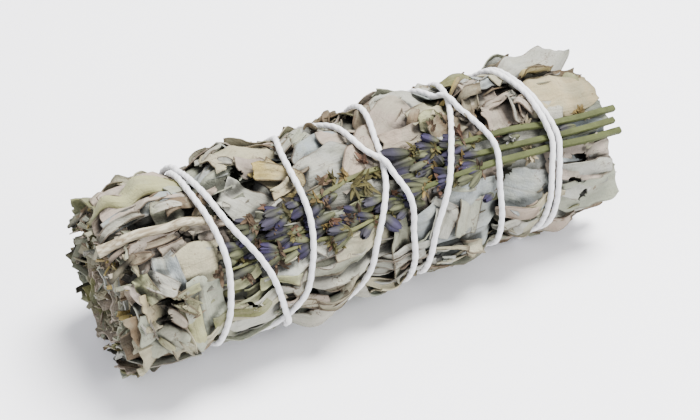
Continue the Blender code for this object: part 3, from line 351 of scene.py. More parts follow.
# Single calyces: sprig, foot x and turn, tip x and turn, width, how violet
CALYCES = (
    (4, -21.2, 40, -27.6, 44, 2.5, 0.85), (4, -27.8, 43, -32.6, 45, 2.1, 0.9),
    (4, -28.5, 47, -33.4, 49, 1.8, 0.8), (5, -20.8, 50, -26.8, 51, 1.8, 0.9),
    (5, -18.5, 53, -24.2, 54, 1.7, 0.3), (5, -32.0, 52, -37.2, 48, 1.9, 0.9),
    (5, -31.0, 56, -35.6, 55, 1.9, 0.2), (4, -16.5, 40, -20.6, 44, 2.0, 0.95),
    (4, -17.0, 36, -20.8, 37, 1.7, 0.9), (4, -22.0, 37, -26.5, 39, 1.7, 0.5),
    (4, -12.0, 41, -16.6, 47, 1.8, 0.9), (4, -9.0, 39, -12.8, 41, 1.9, 0.8),
    (5, -11.5, 50, -17.0, 54, 1.8, 0.75), (5, -13.0, 46, -17.6, 50, 1.7, 0.95),
    (5, -27.0, 57, -31.6, 60, 1.7, 0.7), (5, -34.5, 60, -38.0, 57, 1.7, 0.6),
    (6, -9.0, 63, -13.6, 67, 1.7, 0.7), (6, -20.0, 66, -25.0, 68, 1.7, 0.2),
    (6, -31.0, 66, -36.0, 68, 1.7, 0.6), (6, -1.0, 62, 1.2, 72, 2.6, 0.9),
    (6, -4.0, 65, -7.8, 68, 1.9, 0.8), (6, 8.6, 63, 4.4, 60, 2.1, 0.95),
    (3, 0.4, 51, -4.6, 51, 2.1, 0.75), (3, 9.8, 55, 4.4, 51, 2.2, 0.5),
    (3, 3.0, 56, -2.2, 58, 2.0, 0.75), (3, 11.5, 50, 6.4, 47, 1.9, 0.35),
    (2, 9.4, 43, 4.8, 43, 2.0, 0.35), (2, 10.4, 39, 5.0, 37.5, 2.3, 0.85),
    (2, 12.6, 38, 8.2, 40, 2.0, 0.3), (2, 13.6, 41, 10.8, 47, 1.8, 0.3),
    (2, 16.0, 43, 14.4, 36, 1.7, 0.6), (2, 12.8, 44, 8.8, 46, 1.9, 0.8),
    (2, 17.8, 40, 13.6, 38, 1.7, 0.85), (2, 20.5, 47, 16.0, 48, 1.8, 0.7),
    (1, 9.6, 28, 3.8, 23, 2.7, 0.8), (1, 10.4, 33.5, 4.6, 33, 2.5, 0.65),
    (1, 16.6, 28, 13.4, 22, 1.8, 1.0), (1, 15.6, 29, 11.4, 27, 1.7, 0.9),
    (1, 13.4, 34, 10.4, 31, 1.8, 0.3), (1, 20.6, 32, 16.6, 30, 1.7, 0.5),
    (1, 23.8, 37, 19.4, 38, 1.8, 0.9), (2, 25.4, 44, 20.8, 42, 1.8, 0.9),
    (3, 25.5, 73, 22.6, 74, 1.6, 1.0), (3, 21.4, 57, 17.0, 57, 1.9, 0.2),
    (3, 15.5, 55.5, 11.2, 57, 1.7, 0.5), (1, 35.5, 41, 31.8, 40, 1.4, 0.6),
    (3, 50.0, 47, 46.0, 46.5, 1.6, 0.7),
)

# Tufts of dry bracts and withered petals: sprig, x, turn, half as many as there are, length,
# colour, heading (degrees). None grows nearer to the string than the clearance
TUFT_CLEAR = 1.4
TUFT_TINTS = {
    "brown": (0.060, 0.038, 0.021), "olive": (0.070, 0.060, 0.020), "ochre": (0.125, 0.086, 0.027),
    "rust": (0.070, 0.036, 0.021), "cream": (0.24, 0.20, 0.125), "white": (0.27, 0.265, 0.25),
}
TUFTS = (
    (4, -28.8, 38, 7, 2.6, "brown", 150), (4, -36.0, 38, 7, 2.4, "brown", 120),
    (4, -21.4, 40, 6, 1.8, "brown", 60), (4, -12.2, 36, 8, 2.6, "brown", 100),
    (4, -12.4, 42, 6, 2.2, "brown", 80), (4, -11.6, 30, 4, 2.4, "brown", 280),
    (4, -8.6, 29, 7, 3.0, "olive", 200), (4, -5.8, 30, 6, 2.6, "ochre", 210),
    (4, -5.2, 37, 9, 4.0, "olive", 60), (4, -2.6, 38, 7, 3.4, "olive", 30),
    (4, 0.8, 32, 7, 3.0, "olive", 20), (4, -0.6, 24, 7, 2.4, "rust", 250),
    (5, -20.2, 53, 9, 2.6, "rust", 120), (5, -28.0, 58, 8, 2.6, "brown", 150),
    (5, -27.0, 62, 8, 2.8, "rust", 60), (5, -12.6, 54, 8, 2.6, "rust", 70),
    (5, -9.8, 56, 6, 2.4, "brown", 20), (5, -33.0, 59, 6, 2.4, "olive", 140),
    (6, -38.4, 63, 7, 2.4, "brown", 180), (6, -33.2, 68, 7, 2.6, "brown", 100),
    (6, -26.4, 67, 7, 2.6, "brown", 90), (6, -13.6, 66, 7, 2.8, "olive", 110),
    (6, -4.8, 62, 8, 2.6, "rust", 70), (6, -20.8, 62, 6, 2.4, "olive", 160),
    (3, 3.4, 52, 9, 2.8, "rust", 60), (3, 2.6, 57, 6, 2.2, "brown", 110),
    (3, 10.4, 52, 7, 2.4, "ochre", 40), (3, 20.6, 54, 6, 2.2, "cream", 160),
    (3, 22.0, 52, 5, 2.2, "cream", 80), (3, 36.4, 57, 6, 2.4, "cream", 100),
    (2, 14.4, 38, 7, 2.6, "rust", 250), (2, 10.6, 34, 7, 2.4, "ochre", 300),
    (2, 20.0, 45, 6, 2.4, "brown", 200), (2, 37.2, 51, 6, 2.2, "cream", 220),
    (1, 11.6, 28, 8, 2.8, "olive", 200), (1, 22.4, 27, 10, 2.6, "rust", 230),
    (1, 18.6, 34, 6, 2.4, "ochre", 120), (1, 24.6, 34, 6, 2.4, "olive", 20),
    (1, 16.2, 19, 6, 2.2, "brown", 260), (1, 30.0, 34, 6, 2.2, "rust", 10),
    (1, 38.6, 35, 6, 2.2, "cream", 250), (1, 33.4, 40, 5, 2.0, "white", 60),
    (1, 52.8, 38.5, 7, 2.2, "ochre", 270), (1, 53.6, 41, 5, 1.8, "cream", 60),
)

# Greatest radii of what stands out of the two ends, at three places along X from the middle,
# and how sharply they hold
END_PLACES = (48.0, 52.5, 57.0)
CUT_END_LIMITS = (15.6, 17.4, 20.6)
TIP_END_LIMITS = (14.0, 14.8, 17.4)
LIMIT_HOLD = 1.4

# Cut end: radii of the rings of leaf ends, where they stand out from, and how many crumbs lie
# among them
CUT_RINGS = tuple(18.6 - 1.45 * ring for ring in range(13))
CUT_END_ROOT = 49.0
CRUMBS = 190

# Other end: radii of the rings of leaf tips, and where they stand out from
TIP_RINGS = tuple(17.4 - 1.7 * ring for ring in range(10))
TIP_END_ROOT = 46.0

# Sage stems inside, seen at the cut end (y, height, depth), and the stem outside (x, turn)
INNER_STEMS = ((-6.5, 24.5, 26.0), (3.5, 14.0, 30.0), (7.5, 27.0, 24.0), (-4.0, 11.0, 28.0))
INNER_STEM_RADIUS = 1.1
INNER_STEM_COLOUR = (0.26, 0.22, 0.14)
OUTER_STEM = ((-59.6, 23.0), (-52.0, 25.5), (-44.0, 28.0), (-36.5, 29.5))
OUTER_STEM_RADIUS = 1.0
OUTER_STEM_COLOUR = (0.44, 0.40, 0.29)

# Light of the room, then lamps: name, place (m), width (m), power (W), colour
ROOM_COLOUR = (0.93, 0.94, 1.0, 1.0)
ROOM_LIGHT = 1.05
LAMPS = (
    ("key", (0.22, 0.02, 0.75), 0.40, 22.0, (1.0, 0.99, 0.975)),
    ("front", (0.45, -0.65, 0.40), 0.60, 7.6, (1.0, 1.0, 1.0)),
    ("end", (-0.70, -0.25, 0.35), 0.50, 1.2, (0.96, 0.98, 1.0)),
)

# Camera at the photograph's angle: degrees round from the front and up from the ground, half its
# field (degrees), and in metres its distance, its shift up its picture, and what it looks at, as
# the lamps do
CAMERA_TURN = -29.0
CAMERA_RISE = 38.0
HALF_FIELD = 13.5
CAMERA_DISTANCE = 0.32
CAMERA_SHIFT = -0.0012
AIM = Vector((0.0, 0.0, 0.02))


def unit(vectors):
    """Vectors brought to length 1."""
    return vectors / np.linalg.norm(vectors, axis=-1, keepdims=True)


def pick(rng, names, odds=None):
    """One of the names in a line of names, by chance."""
    return str(rng.choice(names.split(), p=odds))


def smooth_steps(knots, values, at):
    """Cubic Hermite curve through (knots, values), its slopes from the neighbours' rise over run."""
    knots, values = np.asarray(knots, float), np.asarray(values, float)
    slopes = np.gradient(values, knots)
    index = np.clip(np.searchsorted(knots, at) - 1, 0, len(knots) - 2)
    span = knots[index + 1] - knots[index]
    t = (at - knots[index]) / span
    return ((1 + 2 * t) * (1 - t) ** 2 * values[index] + t * (1 - t) ** 2 * span * slopes[index]
            + t * t * (3 - 2 * t) * values[index + 1] + t * t * (t - 1) * span * slopes[index + 1])


def string_line(step):
    """Total angle and x of places about a step (mm) apart along the string's route."""
    knots, xs = zip(*STRING_ROUTE)
    count = int((knots[-1] - knots[0]) * math.radians(1) * UNROLL_RADIUS / step)
    turned = np.linspace(knots[0], knots[-1], count + 1)
    return turned, smooth_steps(knots, xs, turned)


def wrapped(turn):
    """Turn brought to between -180 and 180 degrees."""
    return (np.asarray(turn, float) + 180.0) % 360.0 - 180.0


def string_distance_net():
    """Distance (mm, over the side) from each knot of the net to the string, no more than 25."""
    turned, route_x = string_line(1.5)
    arc = np.radians(wrapped(TURN_LINE[:, None] - turned[None, :])) * UNROLL_RADIUS
    net = np.full((len(X_LINE), len(TURN_LINE)), 25.0)
    for i, x in enumerate(X_LINE):
        near = np.abs(route_x - x) < 25.0
        net[i] = np.sqrt((route_x[near] - x) ** 2 + arc[:, near] ** 2).min(axis=1, initial=25.0)
    return net


def sample(net, x, turn):
    """Value of a net at places: bilinear between the four nearest knots, closed round the turn."""
    fx = np.clip((np.asarray(x, float) - X_LINE[0]) / X_STEP, 0.0, len(X_LINE) - 1.001)
    ft = (np.asarray(turn, float) % 360.0) / TURN_STEP
    i, j = fx.astype(int), ft.astype(int)
    a, b = fx - i, ft - j
    j, k = j % len(TURN_LINE), (j + 1) % len(TURN_LINE)
    return ((1 - a) * ((1 - b) * net[i, j] + b * net[i, k])
            + a * ((1 - b) * net[i + 1, j] + b * net[i + 1, k]))


def knots_near(x, turn):
    """Indices of the net's knots nearest to places."""
    i = np.clip(np.round((x - X_LINE[0]) / X_STEP), 0, len(X_LINE) - 1).astype(int)
    return i, np.round((turn % 360.0) / TURN_STEP).astype(int) % len(TURN_LINE)


def soft_step(value):
    """Logistic step from 0 to 1 about zero, as wide as the lavender band's soft edge."""
    return 1.0 / (1.0 + np.exp(-value / BAND_SOFTNESS))


def ripple(a, b, wavelength, rng, waves=6):
    """Smooth unevenness of about plus or minus 1: a sum of sines in chance directions."""
    total = np.zeros(np.broadcast(a, b).shape)
    for _ in range(waves):
        heading, shift = rng.uniform(0.0, math.pi), rng.uniform(0.0, 2.0 * math.pi)
        stretch = 2.0 * math.pi / (wavelength * rng.uniform(0.7, 1.5))
        total = total + np.sin((a * math.cos(heading) + b * math.sin(heading)) * stretch + shift)
    return total / math.sqrt(waves) * 0.9


def torn(at, step, rng):
    """Angular wandering of plus or minus 1: straight lines between chance values about a step apart."""
    knots = np.arange(at.min() - 2.0 * step, at.max() + 2.0 * step, step)
    knots = knots + rng.uniform(-0.3, 0.3, len(knots)) * step
    return np.interp(at, knots, rng.uniform(-1.0, 1.0, len(knots)))


def floor_radius(turn, clear):
    """Radius that comes down to a clearance above the ground; vast on the upper half."""
    return (AXIS_HEIGHT - clear) / np.maximum(-np.cos(np.radians(turn)), 1e-6)


def side_nets():
    """Nets of the string's distance, the skin's and the bed's radius, the openings and the dusk.

    Skin: a round side with lumps, less a narrow and a wide Gaussian dip under the string and
    the lavender band's dip. Bed: a smaller round. Both are cut back to lie above the ground.
    Opening: the exponential of minus the fourth powers of the distances along and round it, so
    it is 1 in the middle and falls through a half at a leaning edge with round corners. Dusk:
    the share of painted shade, 1 under the lavender, where little light comes, falling softly to
    0 about it.
    """
    rng = np.random.default_rng(SEED)
    x, turn = X_LINE[:, None], TURN_LINE[None, :]
    gap = string_distance_net()
    lumps = sum(0.5 * np.sin(x * wave + np.radians(turn) * rng.integers(1, 6) + rng.uniform(0.0, 6.3))
                for wave in (0.11, 0.17, 0.26, 0.33))
    skin = SIDE_RADIUS + TIP_END_SWELL * np.tanh(x / 28.0) + SIDE_LUMP * lumps
    skin = skin - BITE_DEPTH * np.exp(-(gap / BITE_WIDTH) ** 2)
    skin = skin - BITE_SLOPE_DEPTH * np.exp(-(gap / BITE_SLOPE_WIDTH) ** 2)
    side = wrapped(turn)
    band = soft_step(side - BAND_TURNS[0]) * soft_step(BAND_TURNS[1] - side) * soft_step(x - BAND_START)
    skin = np.minimum(skin - BAND_DEPTH * band, floor_radius(turn, SKIN_CLEAR))
    bed = np.minimum(np.full(skin.shape, BED_RADIUS), floor_radius(turn, BED_CLEAR))
    most, least = np.array(BACK_OPENING_RANGES)
    chance = np.random.default_rng(SEED + 6).uniform(0.0, 1.0, (BACK_OPENINGS, 4))
    openings = np.concatenate([OPENINGS, chance * (most - least) + least])
    leans = rng.uniform(0.3, 0.8, len(openings)) * rng.choice((-1.0, 1.0), len(openings))
    opening = np.zeros(skin.shape)
    for (place_x, place_turn, half_x, half_arc), lean in zip(openings, leans):
        beside = x - place_x
        arc = np.radians(wrapped(turn - place_turn)) * UNROLL_RADIUS - lean * beside
        opening = np.maximum(opening, np.exp(-(beside / half_x) ** 4 - (arc / half_arc) ** 4))
    # Painted shade under the lavender: 1 there, falling softly to 0 about it
    dusk = (soft_step((side - 32.0) * 1.5) * soft_step((64.0 - side) * 1.5)
            * soft_step((x + 37.0) * 2.0) * soft_step((55.0 - x) * 1.5))
    return gap, skin, bed, opening, dusk


GAP_NET, SKIN_NET, BED_NET, OPENING_NET, DUSK_NET = side_nets()


def radius_at(x, turn, height):
    """Radius of a height: bed plus that share of the way to the skin, never under the ground."""
    bed = sample(BED_NET, x, turn)
    return np.minimum(bed + height * (sample(SKIN_NET, x, turn) - bed), floor_radius(turn, LEAF_CLEAR))


def to_space(x, turn, radius):
    """Points of places on the side at a radius from the bunch's middle line."""
    x, angle, radius = np.broadcast_arrays(x, np.radians(turn), radius)
    return np.stack([x, -radius * np.sin(angle), AXIS_HEIGHT + radius * np.cos(angle)], axis=-1)


def on_side(points):
    """Turn and radius of points, the other way round from to_space."""
    across, up = points[..., 1], points[..., 2] - AXIS_HEIGHT
    return np.degrees(np.arctan2(-across, up)), np.hypot(across, up)


class Pile:
    """Height of what has been laid so far, on the net of places."""

    def __init__(self):
        self.height = np.zeros(SKIN_NET.shape)

    def under(self, x, turn):
        """Height below each place."""
        return sample(self.height, x, turn)

    def top(self, x, turn, most=1.02):
        """Radius of what lies below each place, its height taken as no more than the most."""
        return radius_at(x, turn, np.minimum(self.under(x, turn), most))

    def raise_to(self, x, turn, height):
        """Raise the net under a grid of places, taken four times as closely as the grid."""
        for a in (0.0, 0.25, 0.5, 0.75):
            for b in (0.0, 0.25, 0.5, 0.75):
                parts = []
                for values in (x, turn, height):
                    low = (1 - b) * values[:-1, :-1] + b * values[:-1, 1:]
                    high = (1 - b) * values[1:, :-1] + b * values[1:, 1:]
                    parts.append((1 - a) * low + a * high)
                np.maximum.at(self.height, knots_near(parts[0], parts[1]), parts[2])


def press(x, turn, height):
    """Height kept near or below 1: it may rise above the skin only away from the string."""
    free = 1.0 - np.exp(-(sample(GAP_NET, x, turn) / PRESS_WIDTH) ** 2)
    room = PRESSED_ROOM + FREE_ROOM * free
    return np.where(height > 1.0, 1.0 + room * np.tanh((height - 1.0) / room), height)


def relax(values, rounds):
    """Grid of heights made stiffer: again and again, each value rises to its neighbours' mean."""
    for _ in range(rounds):
        padded = np.pad(values, 1, mode="edge")
        mean = (padded[:-2, 1:-1] + padded[2:, 1:-1] + padded[1:-1, :-2] + padded[1:-1, 2:]) / 4.0
        values = np.maximum(values, mean)
    return values


LEAF_KINDS = {
    # start and end width as a share, power of the arch between them (blunter towards 0), edge
    # tear (share), end tear (mm)
    "blade": (0.34, 0.10, 0.60, 0.05, 0.12),
    "broad": (0.60, 0.38, 0.38, 0.05, 0.25),
    "strip": (0.88, 0.76, 0.22, 0.06, 0.45),
    "scrap": (0.86, 0.70, 0.18, 0.09, 0.65),
}


def leaf_outline(kind, along, length, rng):
    """Half widths to a leaf's two edges, as shares of its widest, and how far its ends are torn.

    A power of a sine arch over the length is raised to the kind's width at each end. A slow
    ripple bends the two edges by themselves, and angular tears break them.
    """
    start, end, power, tear, end_tear = LEAF_KINDS[kind]
    arch = np.sin(math.pi * np.clip(0.03 + 0.94 * along, 0.0, 1.0)) ** power
    floor = start + (end - start) * along
    share = floor + (1.0 - floor) * arch
    sides = []
    for _ in range(2):
        waver = ripple(along * length, 0.0, 8.0, rng, 3) + 0.7 * torn(along * length, 1.6, rng)
        sides.append(share * (1.0 + tear * waver))
    return sides[0], sides[1], end_tear


def lay_leaf(row, pile, rng, grid, sink=0.0, whole=True):
    """One leaf laid on the pile, and the pile raised under it.

    The leaf is a grid: along it from root to tip, and across it from edge to edge, closer near
    the edges. Its middle line bends as a parabola. Across it the section is a part of a circle
    whose angle is the roll. Its height is the relaxed pile plus the section, the tilt, curled
    edges, crumples and the tip's lift, less the groove of the rib and the root's tuck. It may
    sink in the openings, and last it is pressed by the string.
    """
    root_x, root_turn, tip_x, tip_turn, width, kind, tint, roll, tilt, lift, bend = row
    along = np.linspace(0.0, 1.0, grid[0])[:, None]
    across = np.sin(np.linspace(-0.5, 0.5, grid[1]) * math.pi)[None, :]
    root_s, tip_s = math.radians(root_turn) * UNROLL_RADIUS, math.radians(tip_turn) * UNROLL_RADIUS
    length = math.hypot(tip_x - root_x, tip_s - root_s)
    dir_x, dir_s = (tip_x - root_x) / length, (tip_s - root_s) / length
    left, right, end_tear = leaf_outline(kind, along, length, rng)
    half = width / 2.0 * np.where(across < 0.0, left, right)
    turned = across * abs(roll) * (0.75 + 0.25 * ripple(along * length, 0.0, 9.0, rng, 3))
    straight = np.abs(turned) < 1e-3
    shrink = np.where(straight, 1.0, np.sin(turned) / np.where(straight, 1e-3, turned))
    bow = (1.0 - np.cos(turned)) / max(abs(roll), 1e-3)
    sideways = across * half * shrink + bend * length * 4.0 * along * (1.0 - along)
    tip_tear = torn(across * half, 1.6, rng) * along ** 4
    root_tear = torn(across * half, 1.6, rng) * (1.0 - along) ** 4
    forward = along * length + end_tear * (tip_tear - root_tear)
    x = root_x + dir_x * forward - dir_s * sideways
    s = root_s + dir_s * forward + dir_x * sideways
    x = np.clip(x, -REACH, REACH)
    turn = np.degrees(s / UNROLL_RADIUS)
    crumple = 0.24 * (0.45 - np.abs(ripple(forward * 0.2, sideways, 4.2, rng, 4)))
    crumple = crumple + 0.20 * ripple(x, s, 9.0, rng) + 0.05 * ripple(x, s, 2.6, rng)
    section = bow * half if roll > 0 else (bow.max(axis=1, keepdims=True) - bow) * half
    curl = np.where(across < 0.0, rng.uniform(-0.3, 0.7), rng.uniform(-0.3, 0.7))
    curl = curl * np.abs(across) ** 6 * (0.7 + 0.5 * ripple(along * length, 0.0, 9.0, rng, 3))
    rise = section + tilt * across + curl + crumple + lift * along ** 3
    rib = 0.16 * np.exp(-(across * half / 0.35) ** 2) * (1.0 - along)
    base = relax(pile.under(x, turn), 10) + (LEAF_GAP + LEAF_THICKNESS) / FREE_DEPTH
    raw = base + (rise - rib) / FREE_DEPTH
    raw = raw * (1.0 - sink * sample(OPENING_NET, x, turn))
    raw = raw - ROOT_TUCK / FREE_DEPTH * np.exp(-along / 0.06) * (along < 0.4)
    height = press(x, turn, raw)
    pile.raise_to(x, turn, np.minimum(base + 0.3 * np.maximum(rise, 0.0) / FREE_DEPTH, 1.05))
    edge = np.minimum((1.0 - np.abs(across)) * half, np.minimum(along, 1.0 - along) * length)
    return Leaf(x, turn, height, np.maximum(height, base), (along, across * half, edge), tint, whole)


class Leaf:
    """One laid leaf: its grid of places and heights, and what its surface needs to know.

    Its level is the higher of its surface and of what it lies on. Its outline holds how far
    along and across each corner lies, and its distance to an edge.
    """

    def __init__(self, x, turn, height, level, outline, tint, whole):
        self.x, self.turn, self.height, self.level = x, turn, height, level
        self.outline, self.tint, self.whole = outline, tint, whole

    def opened(self, points, rng):
        """Points fitted to the openings' edges, and which corners stay: all of a whole leaf.

        Each leaf meets an opening a little beside the others. A corner that stays is moved
        towards its neighbours that don't, to where the opening's value passes a half on the way.
        """
        if self.whole:
            return points, None
        shift_x, shift_turn = rng.uniform(-0.5, 0.5), rng.uniform(-1.5, 1.5)
        wander = 0.4 * ripple(self.x, self.turn * 0.35, 2.4, rng, 3)
        value = sample(OPENING_NET, self.x + shift_x + wander, self.turn + shift_turn)
        kept = value < 0.5
        move, count = np.zeros(points.shape), np.zeros(value.shape)
        for axis in (0, 1):
            for way in (-1, 1):
                there = np.roll(value, way, axis)
                meets = kept & (there >= 0.5)
                edge = [slice(None), slice(None)]
                edge[axis] = 0 if way == 1 else -1
                meets[tuple(edge)] = False
                share = np.where(meets, (0.5 - value) / np.maximum(there - value, 1e-6), 0.0)
                move += share[..., None] * (np.roll(points, way, axis) - points)
                count += meets
        return points + move / np.maximum(count, 1.0)[..., None], kept

    def add_to(self, heap, crown, rim, rng):
        """Add the leaf's sheet to a heap, with painted shade by how far it lies under the leaves beside
        it.

        Painted shade: where its level is under the crown, it darkens softly. Where it is under the
        rim, the highest leaf within half a millimetre, it darkens at once, a painted contact shadow
        as where one leaf covers another. Painted shade darkens it deep in the pile too, and under
        the lavender.
        """
        points = to_space(self.x, self.turn, radius_at(self.x, self.turn, self.height))
        # Painted shade: darker under higher leaves and under the lavender
        hollow = sample(crown, self.x, self.turn) - self.level
        contact = np.clip((sample(rim, self.x, self.turn) - self.level - 0.05) / 0.06, 0.0, 1.0)
        dusk = 0.35 * sample(DUSK_NET, self.x, self.turn)
        shade = np.clip(1.0 - (hollow - 0.06) / 0.34, 0.0, 1.0) * (1.0 - dusk) * (1.0 - 0.5 * contact)
        # Painted shade deep in the pile: lower leaves are darker
        shade = shade * np.clip(0.25 + 1.1 * self.height, 0.0, 1.0)
        tint = mixed_tint(self.tint, rng)
        points, kept = self.opened(points, rng)
        heap.add_sheet(points, LEAF_THICKNESS, tint, facts_of(*self.outline, shade), kept)


def facts_of(along, across, edge, shade):
    """Facts of a grid, four numbers for each of its corners."""
    return np.stack(np.broadcast_arrays(along, across, edge, shade), axis=-1)


def highest_near(net):
    """Net of the greatest value among each knot and its four neighbours."""
    ends = np.concatenate([net[:1], net, net[-1:]])
    return np.maximum.reduce([ends[:-2], ends[1:-1], ends[2:],
                              np.roll(net, 1, axis=1), np.roll(net, -1, axis=1)])


def crown_of(pile):
    """Net of the greatest height within a millimetre of each knot, twice blurred by its neighbours."""
    crown = highest_near(highest_near(pile.height))
    for _ in range(2):
        ends = np.concatenate([crown[:1], crown, crown[-1:]])
        crown = (ends[:-2] + ends[2:] + np.roll(crown, 1, axis=1) + np.roll(crown, -1, axis=1)) / 4.0
    return crown


def shell_from_grid(points, thickness, kept=None):
    """Closed shell of a grid: the grid, the grid moved inwards by the thickness, and a rim.

    The move is along the cross product of the grid's two slopes, so the wall is even where the
    leaf rolls, and it is turned towards the bunch's middle line on the whole. Quads with a
    corner that isn't kept are left out, and every open edge gets its rim quad.
    """
    rows, columns = points.shape[:2]
    normal = np.cross(np.gradient(points, axis=0), np.gradient(points, axis=1))
    normal = normal / np.maximum(np.linalg.norm(normal, axis=-1, keepdims=True), 1e-9)
    outward = points * (0.0, 1.0, 1.0) - (0.0, 0.0, AXIS_HEIGHT)
    if (normal * outward).sum() < 0.0:
        normal = -normal
    back = points - normal * thickness
    count = rows * columns
    index = np.arange(count).reshape(rows, columns)
    front = np.stack([index[:-1, :-1], index[1:, :-1], index[1:, 1:], index[:-1, 1:]], axis=-1)
    front = front.reshape(-1, 4)
    if kept is not None:
        front = front[kept.ravel()[front].all(axis=1)]
    start, end = front.ravel(), np.roll(front, -1, axis=1).ravel()
    is_open = ~np.isin(start * count + end, end * count + start)
    start, end = start[is_open], end[is_open]
    rim = np.stack([end, start, start + count, end + count], axis=-1)
    faces = np.concatenate([front, front[:, ::-1] + count, rim])
    return np.concatenate([points.reshape(-1, 3), back.reshape(-1, 3)]), faces


class Heap:
    """Vertices, faces and per-vertex facts of many small shells that become one piece."""

    def __init__(self):
        self.points, self.faces, self.tints, self.facts = [], [], [], []
        self.count = 0

    def add(self, points, faces, tint, facts=PLAIN_FACTS):
        """Add a shell: its points, quads, one colour or one a point, and four facts or four a point.

        A shell whose signed volume comes out negative has its quads turned, so all faces point out.
        """
        points, faces = np.asarray(points, float).reshape(-1, 3), np.asarray(faces)
        corners = points[faces] - points.mean(axis=0)
        halves = np.cross(corners[:, 1], corners[:, 2]) + np.cross(corners[:, 2], corners[:, 3])
        if (corners[:, 0] * halves).sum() < 0.0:
            faces = faces[:, ::-1]
        self.points.append(points)
        self.faces.append(faces + self.count)
        self.tints.append(np.broadcast_to(np.asarray(tint, float), (len(points), 3)))
        self.facts.append(np.broadcast_to(np.asarray(facts, float), (len(points), 4)))
        self.count += len(points)

    def add_sheet(self, points, thickness, tint, facts=PLAIN_FACTS, kept=None):
        """Add a sheet with its wall; both faces carry the same facts, and only kept corners stay."""
        shell, faces = shell_from_grid(points, thickness, kept)
        if not len(faces):
            return
        facts = np.broadcast_to(np.asarray(facts, float), points.shape[:2] + (4,)).reshape(-1, 4)
        used, faces = np.unique(faces, return_inverse=True)
        self.add(shell[used], faces.reshape(-1, 4), tint, np.concatenate([facts, facts])[used])

    def add_rod(self, path, radii, section, tint):
        """Add a closed rod along a path: its section is a factor of the radius on each side."""
        points, faces = tube(*with_ends(path, radii), section)
        self.add(points, faces, tint)

    def make(self, name, surface, slot, *nodes):
        """One mesh object at the origin from all the shells, dressed, riding and replacing nodes."""
        points = np.concatenate(self.points) * MM
        faces = np.concatenate(self.faces)
        mesh = bpy.data.meshes.new(name)
        mesh.vertices.add(len(points))
        mesh.vertices.foreach_set("co", points.astype(np.float32).ravel())
        mesh.loops.add(faces.size)
        mesh.loops.foreach_set("vertex_index", faces.astype(np.int32).ravel())
        mesh.polygons.add(len(faces))
        mesh.polygons.foreach_set("loop_start", (np.arange(len(faces)) * 4).astype(np.int32))
        mesh.update(calc_edges=True)
        colours = np.concatenate([np.concatenate(self.tints), np.ones((len(points), 1))], axis=1)
        tint = mesh.attributes.new("tint", "FLOAT_COLOR", "POINT")
        tint.data.foreach_set("color", colours.astype(np.float32).ravel())
        facts = np.concatenate(self.facts).astype(np.float32)
        for column, word in enumerate(("along", "across", "edge", "shade")):
            layer = mesh.attributes.new(word, "FLOAT", "POINT")
            layer.data.foreach_set("value", np.ascontiguousarray(facts[:, column]))
        mesh.validate()
        mesh.shade_smooth()
        mesh.set_sharp_from_angle(angle=math.radians(SHARP_ANGLE))
        item = bpy.data.objects.new(name, mesh)
        bpy.context.scene.collection.objects.link(item)
        mesh.materials.append(surface)
        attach(item, "root")
        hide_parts(*nodes)


def tube(path, radii, section):
    """Closed tube along a path: rings carried without twist, and shut at both ends.

    The frame of each ring turns by the least amount from the one before (parallel transport).
    radii is one number for each point of the path; section is a factor for each side of a ring.
    """
    tangent = unit(np.gradient(path, axis=0))
    side = np.cross(tangent[0], [0.0, 0.3, 1.0])
    frames = []
    for direction in tangent:
        side = unit(side - direction * (side @ direction))
        frames.append(side)
    across = np.array(frames)
    up = np.cross(tangent, across)
    angle = np.arange(len(section)) * 2.0 * math.pi / len(section)
    ring = (np.cos(angle) * section)[None, :, None] * across[:, None, :]
    ring = ring + (np.sin(angle) * section)[None, :, None] * up[:, None, :]
    points = path[:, None, :] + ring * radii[:, None, None]
    return points, ring_faces(len(path), len(section))


def ring_faces(rings, sides):
    """Quads of a closed tube of rings with an even number of sides: its wall, and a fan at each end."""
    i, j = np.meshgrid(np.arange(rings - 1), np.arange(sides), indexing="ij")
    a, b = i * sides + j, i * sides + (j + 1) % sides
    wall = np.stack([a, b, b + sides, a + sides], axis=-1).reshape(-1, 4)
    first = np.arange(1, sides - 1, 2)
    fan = np.stack([0 * first, first, first + 1, first + 2], axis=-1)
    return np.concatenate([wall, fan[:, ::-1], fan + (rings - 1) * sides])


def with_ends(path, radii):
    """Path and radii with each end doubled and drawn in, so that its tube has closed, flat ends."""
    drawn = 0.02
    first, last = unit(path[1] - path[0]), unit(path[-1] - path[-2])
    path = np.concatenate([[path[0] - first * drawn], path, [path[-1] + last * drawn]])
    return path, np.concatenate([radii[:1] * drawn, radii, radii[-1:] * drawn])


